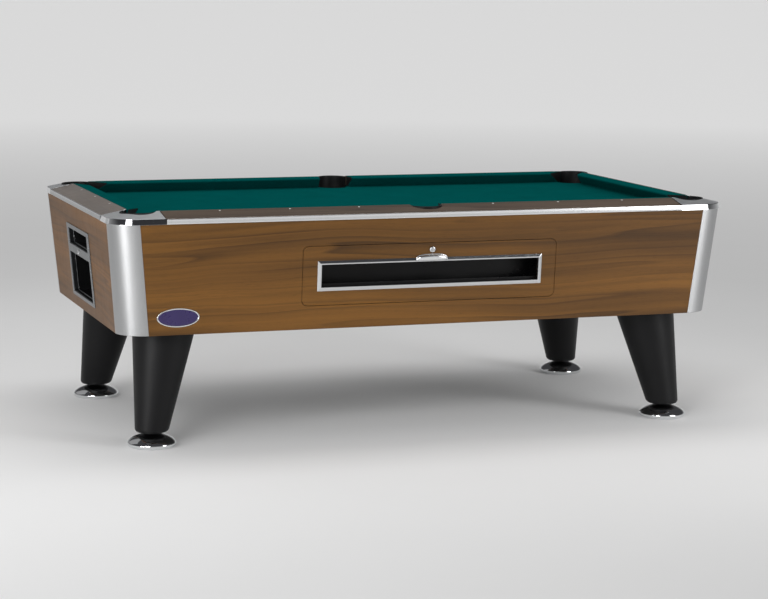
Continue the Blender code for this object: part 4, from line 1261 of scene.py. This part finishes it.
def pull_cup():
    """A bright cup that bulges out of the door, flat and open below, on a thin flange."""
    place = on_side("front")
    half, rise = PULL_WIDTH / 2 - PULL_FLANGE, PULL_HEIGHT - PULL_FLANGE
    base = -SEAT - PULL_WALL
    turns = even_steps(0.0, math.pi, PULL_STEPS)

    def edge_point(turn, grow):
        """A point on the cup's outline, which is fuller at its ends than an ellipse."""
        u = math.copysign(abs(math.cos(turn)) ** PULL_FULLNESS, math.cos(turn)) * (half + grow)
        return u, math.sin(turn) ** PULL_FULLNESS * (rise + grow)

    rings = []
    for grow in (PULL_FLANGE, PULL_FLANGE * PULL_FLANGE_STEP):
        rings.append([place(u, PULL_BOTTOM + z, base) for u, z in (edge_point(turn, grow) for turn in turns)])
    for bulge in even_steps(0.0, QUARTER, BULGE_STEPS):
        ring = []
        for turn in turns:
            u, z = edge_point(turn, 0.0)
            swell = max(0.0, math.sin(turn)) ** PULL_FULLNESS * math.sin(bulge) ** PULL_SQUARENESS
            height = z * max(0.0, math.cos(bulge)) ** PULL_SQUARENESS
            ring.append(place(u, PULL_BOTTOM + height, base - (PULL_PROUD - PULL_WALL) * swell))
        rings.append(ring)
    bm = bmesh.new()
    skin(bm, rings, open_rings=True)
    bmesh.ops.remove_doubles(bm, verts=bm.verts, dist=WELD)
    pull = dress("pull_cup", bm, "pull", "door_pull", "door")
    wall = pull.modifiers.new("cup_wall", "SOLIDIFY")
    wall.thickness = PULL_WALL
    wall.offset = -1.0


def keyed_plug(radius, front, back, keyway):
    """A lock plug whose front face has a keyway sunk in it, about local Z."""
    wide, high = keyway
    slot = rounded((-wide / 2, -high / 2), (wide / 2, high / 2), wide * KEYWAY_ROUND, steps=5)
    rim = [level(circle((0, 0), radius - inward), front - depth) for inward, depth in soft_edge(PLUG_EDGE)]
    rim.append(level(circle((0, 0), radius), back))
    sunk = [level(slot(KEYWAY_MOUTH), front)]
    sunk += [level(slot(), front - depth) for depth in (KEYWAY_MOUTH_DEPTH, KEYWAY_DEPTH)]
    bm = bmesh.new()
    walls = [skin(bm, rings) for rings in (rim, sunk)]
    for rows in walls:
        bm.faces.new(rows[-1])
    fill_end(bm, [rows[0] for rows in walls])
    return bm


def locks():
    """The door's lock in its collar with the cam behind, and the lock on the coin bezel."""
    spot = square_to_face("front", LOCK_HEIGHT)
    depth = PANEL_THICKNESS * math.cos(LEAN_ANGLE)
    inner = LOCK_BARREL + SEAT
    profile = [(inner, -depth), (LOCK_SLEEVE, -depth), (LOCK_SLEEVE, SEAT), (LOCK_RADIUS, SEAT)]
    profile += [(LOCK_RADIUS - inward, height) for inward, height in COLLAR_ROUND]
    profile += [(inner + COLLAR_MOUTH, LOCK_PROUD), (inner, LOCK_PROUD - COLLAR_MOUTH_DEPTH), (inner, -depth)]
    collar = turned(profile, ROUND_STEPS)
    collar.transform(spot)
    dress("lock_collar", collar, "chrome", "door_lock_body", "door")
    plug = keyed_plug(LOCK_BARREL, LOCK_PROUD, -CAM_BACK, DOOR_KEYWAY)
    half = CAM_WIDTH / 2
    bar = rounded((-half, -half), (CAM_LENGTH - half, half), half * CAM_ROUND, steps=6)
    edge = soft_edge(CAM_EDGE)
    cam = [level(bar(-inward), -CAM_BACK + rise) for inward, rise in edge]
    cam += [level(bar(-inward), -CAM_BACK + CAM_THICKNESS - rise) for inward, rise in reversed(edge)]
    loft(cam, plug)
    plug.transform(spot)
    dress("lock_plug", plug, "chrome", "door_lock_barrel", "lock_barrel")
    plug = keyed_plug(COIN_LOCK_RADIUS, COIN_LOCK_PROUD, -COIN_LOCK_LENGTH, COIN_KEYWAY)
    plug.transform(square_to_face("left", COIN_LOCK_HEIGHT))
    dress("coin_lock_plug", plug, "chrome", "end_lock", "coin_lock")


# Coin end, oval plate, legs and feet


def coin_bezel():
    """The bezel on the coin end, and the lips with a bead that turn in behind its two openings."""
    place = on_side("left")
    outline = end_outline(BEZEL_WIDTH, BEZEL_BOTTOM, BEZEL_TOP)
    holes = [end_outline(COIN_WIDTH, COIN_BOTTOM, COIN_TOP), end_outline(CASH_WIDTH, CASH_BOTTOM, CASH_TOP)]
    shape = soft_plate(place, outline, holes, -BEZEL_PROUD, -SEAT, BEZEL_EDGE)
    dress("coin_bezel", shape, "bezel", "end_bezel")
    inner = RETURN_GAP + RETURN_WALL
    wall = [(RETURN_GAP, 0.0), (RETURN_GAP, RETURN_DEPTH)]
    bead = []
    for angle in even_steps(0.0, math.pi, BEAD_STEPS):
        back = RETURN_DEPTH - RETURN_BEAD / 2 * (1 - math.cos(angle))
        bead.append((inner + RETURN_BEAD * math.sin(angle), back))
    # Painted shade: the lips take the near-black return finish, and only the bead keeps the bezel's colour
    returns = bmesh.new()
    for hole in holes:
        start = len(returns.faces)
        rings = [laid(place, hole(-inward), depth) for inward, depth in [*wall, *bead, (inner, 0.0)]]
        loft(rings, returns, closed=True)
        returns.faces.ensure_lookup_table()
        around = len(rings[0])
        first = start + len(wall) * around
        for face in returns.faces[first:first + BEAD_STEPS * around]:
            face.material_index = 1
    dress("recess_returns", returns, "return bezel")


def oval_plate():
    """A bare oval plate: a bright rim round a plain enamel field."""
    place = on_side("front")

    def oval(shrink, depth):
        wide, high = OVAL_HALF_WIDTH - shrink, OVAL_HALF_RISE - shrink
        spots = circle((0.0, 0.0), 1.0, FINE_STEPS)
        return laid(place, [(OVAL_X + wide * x, OVAL_HEIGHT + high * y) for x, y in spots], depth)

    rim = [oval(0.0, -SEAT)]
    rim += [oval(inward, -OVAL_PROUD + depth) for inward, depth in reversed(soft_edge(OVAL_EDGE))]
    rim += [oval(OVAL_RIM + past, -OVAL_PROUD + below) for past, below in OVAL_INNER_EDGE]
    dress("oval_rim", loft(rim, first_cap=False), "frame", "badge_plate")
    field = [oval(OVAL_RIM + past, -OVAL_PROUD + below) for past, below in OVAL_FIELD]
    dress("oval_field", loft(field, first_cap=False), "enamel")


def leg_cones():
    """Splayed round legs with a soft lower edge and a bore for the foot's stem."""
    height = LEG_TOP - LEG_BOTTOM
    levels = [(LEG_TOP - (height - LEG_FILLET) * i / LEG_STEPS, 0.0) for i in range(LEG_STEPS)]
    levels += [(LEG_BOTTOM + up, inward) for up, inward in soft_edge(LEG_FILLET, ROLL_STEPS)]
    bore = [(LEG_BORE_RADIUS + LEG_BORE_EDGE, LEG_BOTTOM), (LEG_BORE_RADIUS, LEG_BOTTOM + LEG_BORE_EDGE)]
    bore.append((LEG_BORE_RADIUS, LEG_BORE_TOP))
    for name, (sx, sy) in CORNERS.items():
        rings = []
        for z, shrink in levels:
            share = (z - LEG_BOTTOM) / height
            radius = LEG_BOTTOM_RADIUS + (LEG_TOP_RADIUS - LEG_BOTTOM_RADIUS) * share - shrink
            centre = (sx * (FOOT_X - LEG_SPLAY * share), sy * (FOOT_Y - LEG_SPLAY * share))
            rings.append(level(circle(centre, radius, FINE_STEPS), z))
        rings += [level(circle((sx * FOOT_X, sy * FOOT_Y), radius, FINE_STEPS), z) for radius, z in bore]
        dress(f"leg_cone_{name}", loft(rings), "leg", f"leg_{name}")


def foot_domes():
    """Polished domed feet with their stems."""
    rise = FOOT_DOME_HEIGHT - FOOT_RIM_HEIGHT
    profile = [(0.0, 0.0), (FOOT_BASE_RADIUS, 0.0)]
    for angle in even_steps(-QUARTER, 0.0, ROLL_STEPS)[1:]:
        radius = FOOT_BASE_RADIUS + (FOOT_RADIUS - FOOT_BASE_RADIUS) * math.cos(angle)
        profile.append((radius, FOOT_RIM_HEIGHT * (1 + math.sin(angle))))
    for angle in even_steps(0.0, QUARTER, ARC_STEPS)[1:-1]:
        radius = FOOT_NECK_RADIUS + (FOOT_RADIUS - FOOT_NECK_RADIUS) * math.cos(angle) ** FOOT_DOME_SLOPE
        profile.append((radius, FOOT_RIM_HEIGHT + rise * math.sin(angle) ** FOOT_DOME_SLOPE))
    profile += [(FOOT_NECK_RADIUS, FOOT_DOME_HEIGHT), (STEM_RADIUS, FOOT_DOME_HEIGHT)]
    profile += [(STEM_RADIUS, STEM_TOP - STEM_EDGE), (STEM_RADIUS - STEM_EDGE, STEM_TOP), (0.0, STEM_TOP)]
    for name, (sx, sy) in CORNERS.items():
        shape = turned(profile, FINE_STEPS)
        shape.transform(Matrix.Translation((sx * FOOT_X, sy * FOOT_Y, 0.0)))
        dress(f"foot_dome_{name}", shape, "chrome", f"foot_{name}", f"foot_{name}")


def finish_solids():
    """Finishes for the solids that stay as they are, inside and under the table."""
    kept = {
        # Painted shade: black for the shade inside the cabinet
        "inside": ("ball_tray", "end_recess_box"),
        # Painted shade: dark steel for the shade in the pockets
        "steel": ("ball_run_front", "ball_run_back", "ball_run_end", "hinge_pin_left", "hinge_pin_right"),
        # Painted shade: the underside is dark for the shade under the table
        "underside": ("cabinet_floor",),
        "board": ("slate_beam_left", "slate_beam_right"),
        "slate": ("slate_bed",),
    }
    for finish, nodes in kept.items():
        for node in nodes:
            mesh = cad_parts[node].data
            mesh.materials.clear()
            mesh.materials.append(FINISHES[finish])


# Stage, light and camera

FLOOR_HALF = 160.0
FLOOR_DIVISIONS = 24
FLOOR_COLOUR = (0.80, 0.80, 0.80)
FLOOR_MOTTLE = 0.985
FLOOR_FILL = (0.30, 0.30, 0.30)
FLOOR_FILL_START = 4.0
FLOOR_FILL_END = 16.0
UNLIT = (0.0, 0.0, 0.0)
SKY_LIGHT = (0.52, 0.52, 0.52)
SKY_SEEN_LOW = (0.69, 0.69, 0.69)
SKY_SEEN_HIGH = (0.05, 0.05, 0.053)
SKY_FADE_START = 0.02
SKY_FADE_END = 0.30
CAMERA_PLACE = (-2.665866, -7.984315, 1.636257)
CAMERA_YAW = 0.326258
CAMERA_PITCH = 0.145452
CAMERA_ROLL = 0.009248
CAMERA_FOCAL_PIXELS = 2276.877579
CAMERA_REACH = 200.0
FRAME_WIDTH = 768
SENSOR_WIDTH = 36.0
KEY_SPREAD = math.radians(100)
STRIP_SPREAD = math.radians(70)

# Each lamp's place, the point that it faces, its width and height, its watts and the spread of its light
LAMPS = {
    "key_softbox": ((-4.2, -5.4, 3.4), (-0.6, -0.5, 0.6), (2.4, 2.2), 52.0, KEY_SPREAD),
    "left_strip": ((-3.77, -2.33, 0.90), (-1.1, -0.6, 0.76), (1.35, 1.20), 9.2, STRIP_SPREAD),
    "right_softbox": ((2.85, -3.35, 1.66), (0.8, -0.5, 0.7), (1.5, 3.0), 15.0, STRIP_SPREAD),
    "back_softbox": ((-2.9, 2.1, 2.3), (-0.96, -0.48, 0.03), (2.6, 2.6), 6.0, math.pi),
    "top_softbox": ((0.0, 0.3, 4.0), (0.0, 0.0, 0.7), (3.0, 1.6), 38.0, math.pi),
}


def looked_at(tree):
    """One where the camera sees a surface, straight on or in a mirror, and nothing for other light."""
    rays = tree.nodes.new("ShaderNodeLightPath").outputs
    mirrored_rays = math_node(tree, "ADD", rays["Is Glossy Ray"], rays["Is Transmission Ray"])
    return math_node(tree, "ADD", rays["Is Camera Ray"], mirrored_rays, clamp=True)


def set_stage():
    """A pale floor that is filled in far from the table, where the lamps don't reach."""
    bm = bmesh.new()
    bmesh.ops.create_grid(bm, x_segments=FLOOR_DIVISIONS, y_segments=FLOOR_DIVISIONS, size=FLOOR_HALF)
    mesh = bpy.data.meshes.new("studio_floor")
    bm.to_mesh(mesh)
    bm.free()
    values = {"Roughness": 0.85, "Specular IOR Level": 0.2, "Emission Strength": 1.0}
    material, tree, shader, place = new_finish("pale_floor", values)
    mottled = [part * FLOOR_MOTTLE for part in FLOOR_COLOUR]
    tone = mix_colour(tree, noise(tree, place, scale=3.0, detail=4.0), mottled, FLOOR_COLOUR)
    away = vector_node(tree, "LENGTH", {0: place})["Value"]
    fill = mix_colour(tree, between(tree, away, FLOOR_FILL_START, FLOOR_FILL_END), UNLIT, FLOOR_FILL)
    feed(tree, shader.inputs["Base Color"], tone)
    feed(tree, shader.inputs["Emission Color"], mix_colour(tree, looked_at(tree), UNLIT, fill))
    mesh.materials.append(material)
    floor = bpy.data.objects.new("studio_floor", mesh)
    bpy.context.scene.collection.objects.link(floor)


def set_world():
    """Even sky light, seen as a pale backdrop that darkens overhead."""
    world = bpy.data.worlds.new("studio_sky")
    bpy.context.scene.world = world
    world.use_nodes = True
    tree = world.node_tree
    up = parts_of(tree, tree.nodes.new("ShaderNodeTexCoord").outputs["Generated"])["Z"]
    seen = mix_colour(tree, between(tree, up, SKY_FADE_START, SKY_FADE_END), SKY_SEEN_LOW, SKY_SEEN_HIGH)
    background = tree.nodes["Background"]
    feed(tree, background.inputs["Color"], mix_colour(tree, looked_at(tree), SKY_LIGHT, seen))
    background.inputs["Strength"].default_value = 1.0


def set_lamps():
    """Softboxes, some with a grid in front, so that little of their light falls on the floor beside them."""
    for name, (place, target, size, watts, spread) in LAMPS.items():
        data = bpy.data.lights.new(name, "AREA")
        data.spread = spread
        data.shape = "RECTANGLE"
        data.size, data.size_y = size
        data.energy = watts
        lamp = bpy.data.objects.new(name, data)
        lamp.location = place
        lamp.rotation_euler = (Vector(target) - Vector(place)).to_track_quat("-Z", "Y").to_euler()
        lamp.visible_camera = False
        bpy.context.scene.collection.objects.link(lamp)


def set_camera():
    data = bpy.data.cameras.new("photo_camera")
    data.sensor_width = SENSOR_WIDTH
    data.lens = CAMERA_FOCAL_PIXELS * SENSOR_WIDTH / FRAME_WIDTH
    data.clip_end = CAMERA_REACH
    camera = bpy.data.objects.new("photo_camera", data)
    right = Vector((math.cos(CAMERA_YAW), -math.sin(CAMERA_YAW), 0.0))
    onward = Vector((math.sin(CAMERA_YAW), math.cos(CAMERA_YAW), 0.0))
    ahead = math.cos(CAMERA_PITCH) * onward - Vector((0.0, 0.0, math.sin(CAMERA_PITCH)))
    up = right.cross(ahead)
    tilted_right = math.cos(CAMERA_ROLL) * right + math.sin(CAMERA_ROLL) * up
    tilted_up = math.cos(CAMERA_ROLL) * up - math.sin(CAMERA_ROLL) * right
    turn = Matrix((tilted_right, tilted_up, -ahead)).transposed()
    camera.matrix_world = Matrix.Translation(CAMERA_PLACE) @ turn.to_4x4()
    bpy.context.scene.collection.objects.link(camera)
    bpy.context.scene.camera = camera


bpy.context.scene.view_settings.view_transform = "Standard"
set_camera()
set_stage()
set_world()
set_lamps()
cabinet_boards()
corner_posts()
edge_trims()
rail_caps()
corner_castings()
pocket_lips()
cushion_covers()
bed_cloth()
door_and_frame()
pull_cup()
locks()
coin_bezel()
oval_plate()
leg_cones()
foot_domes()
finish_solids()
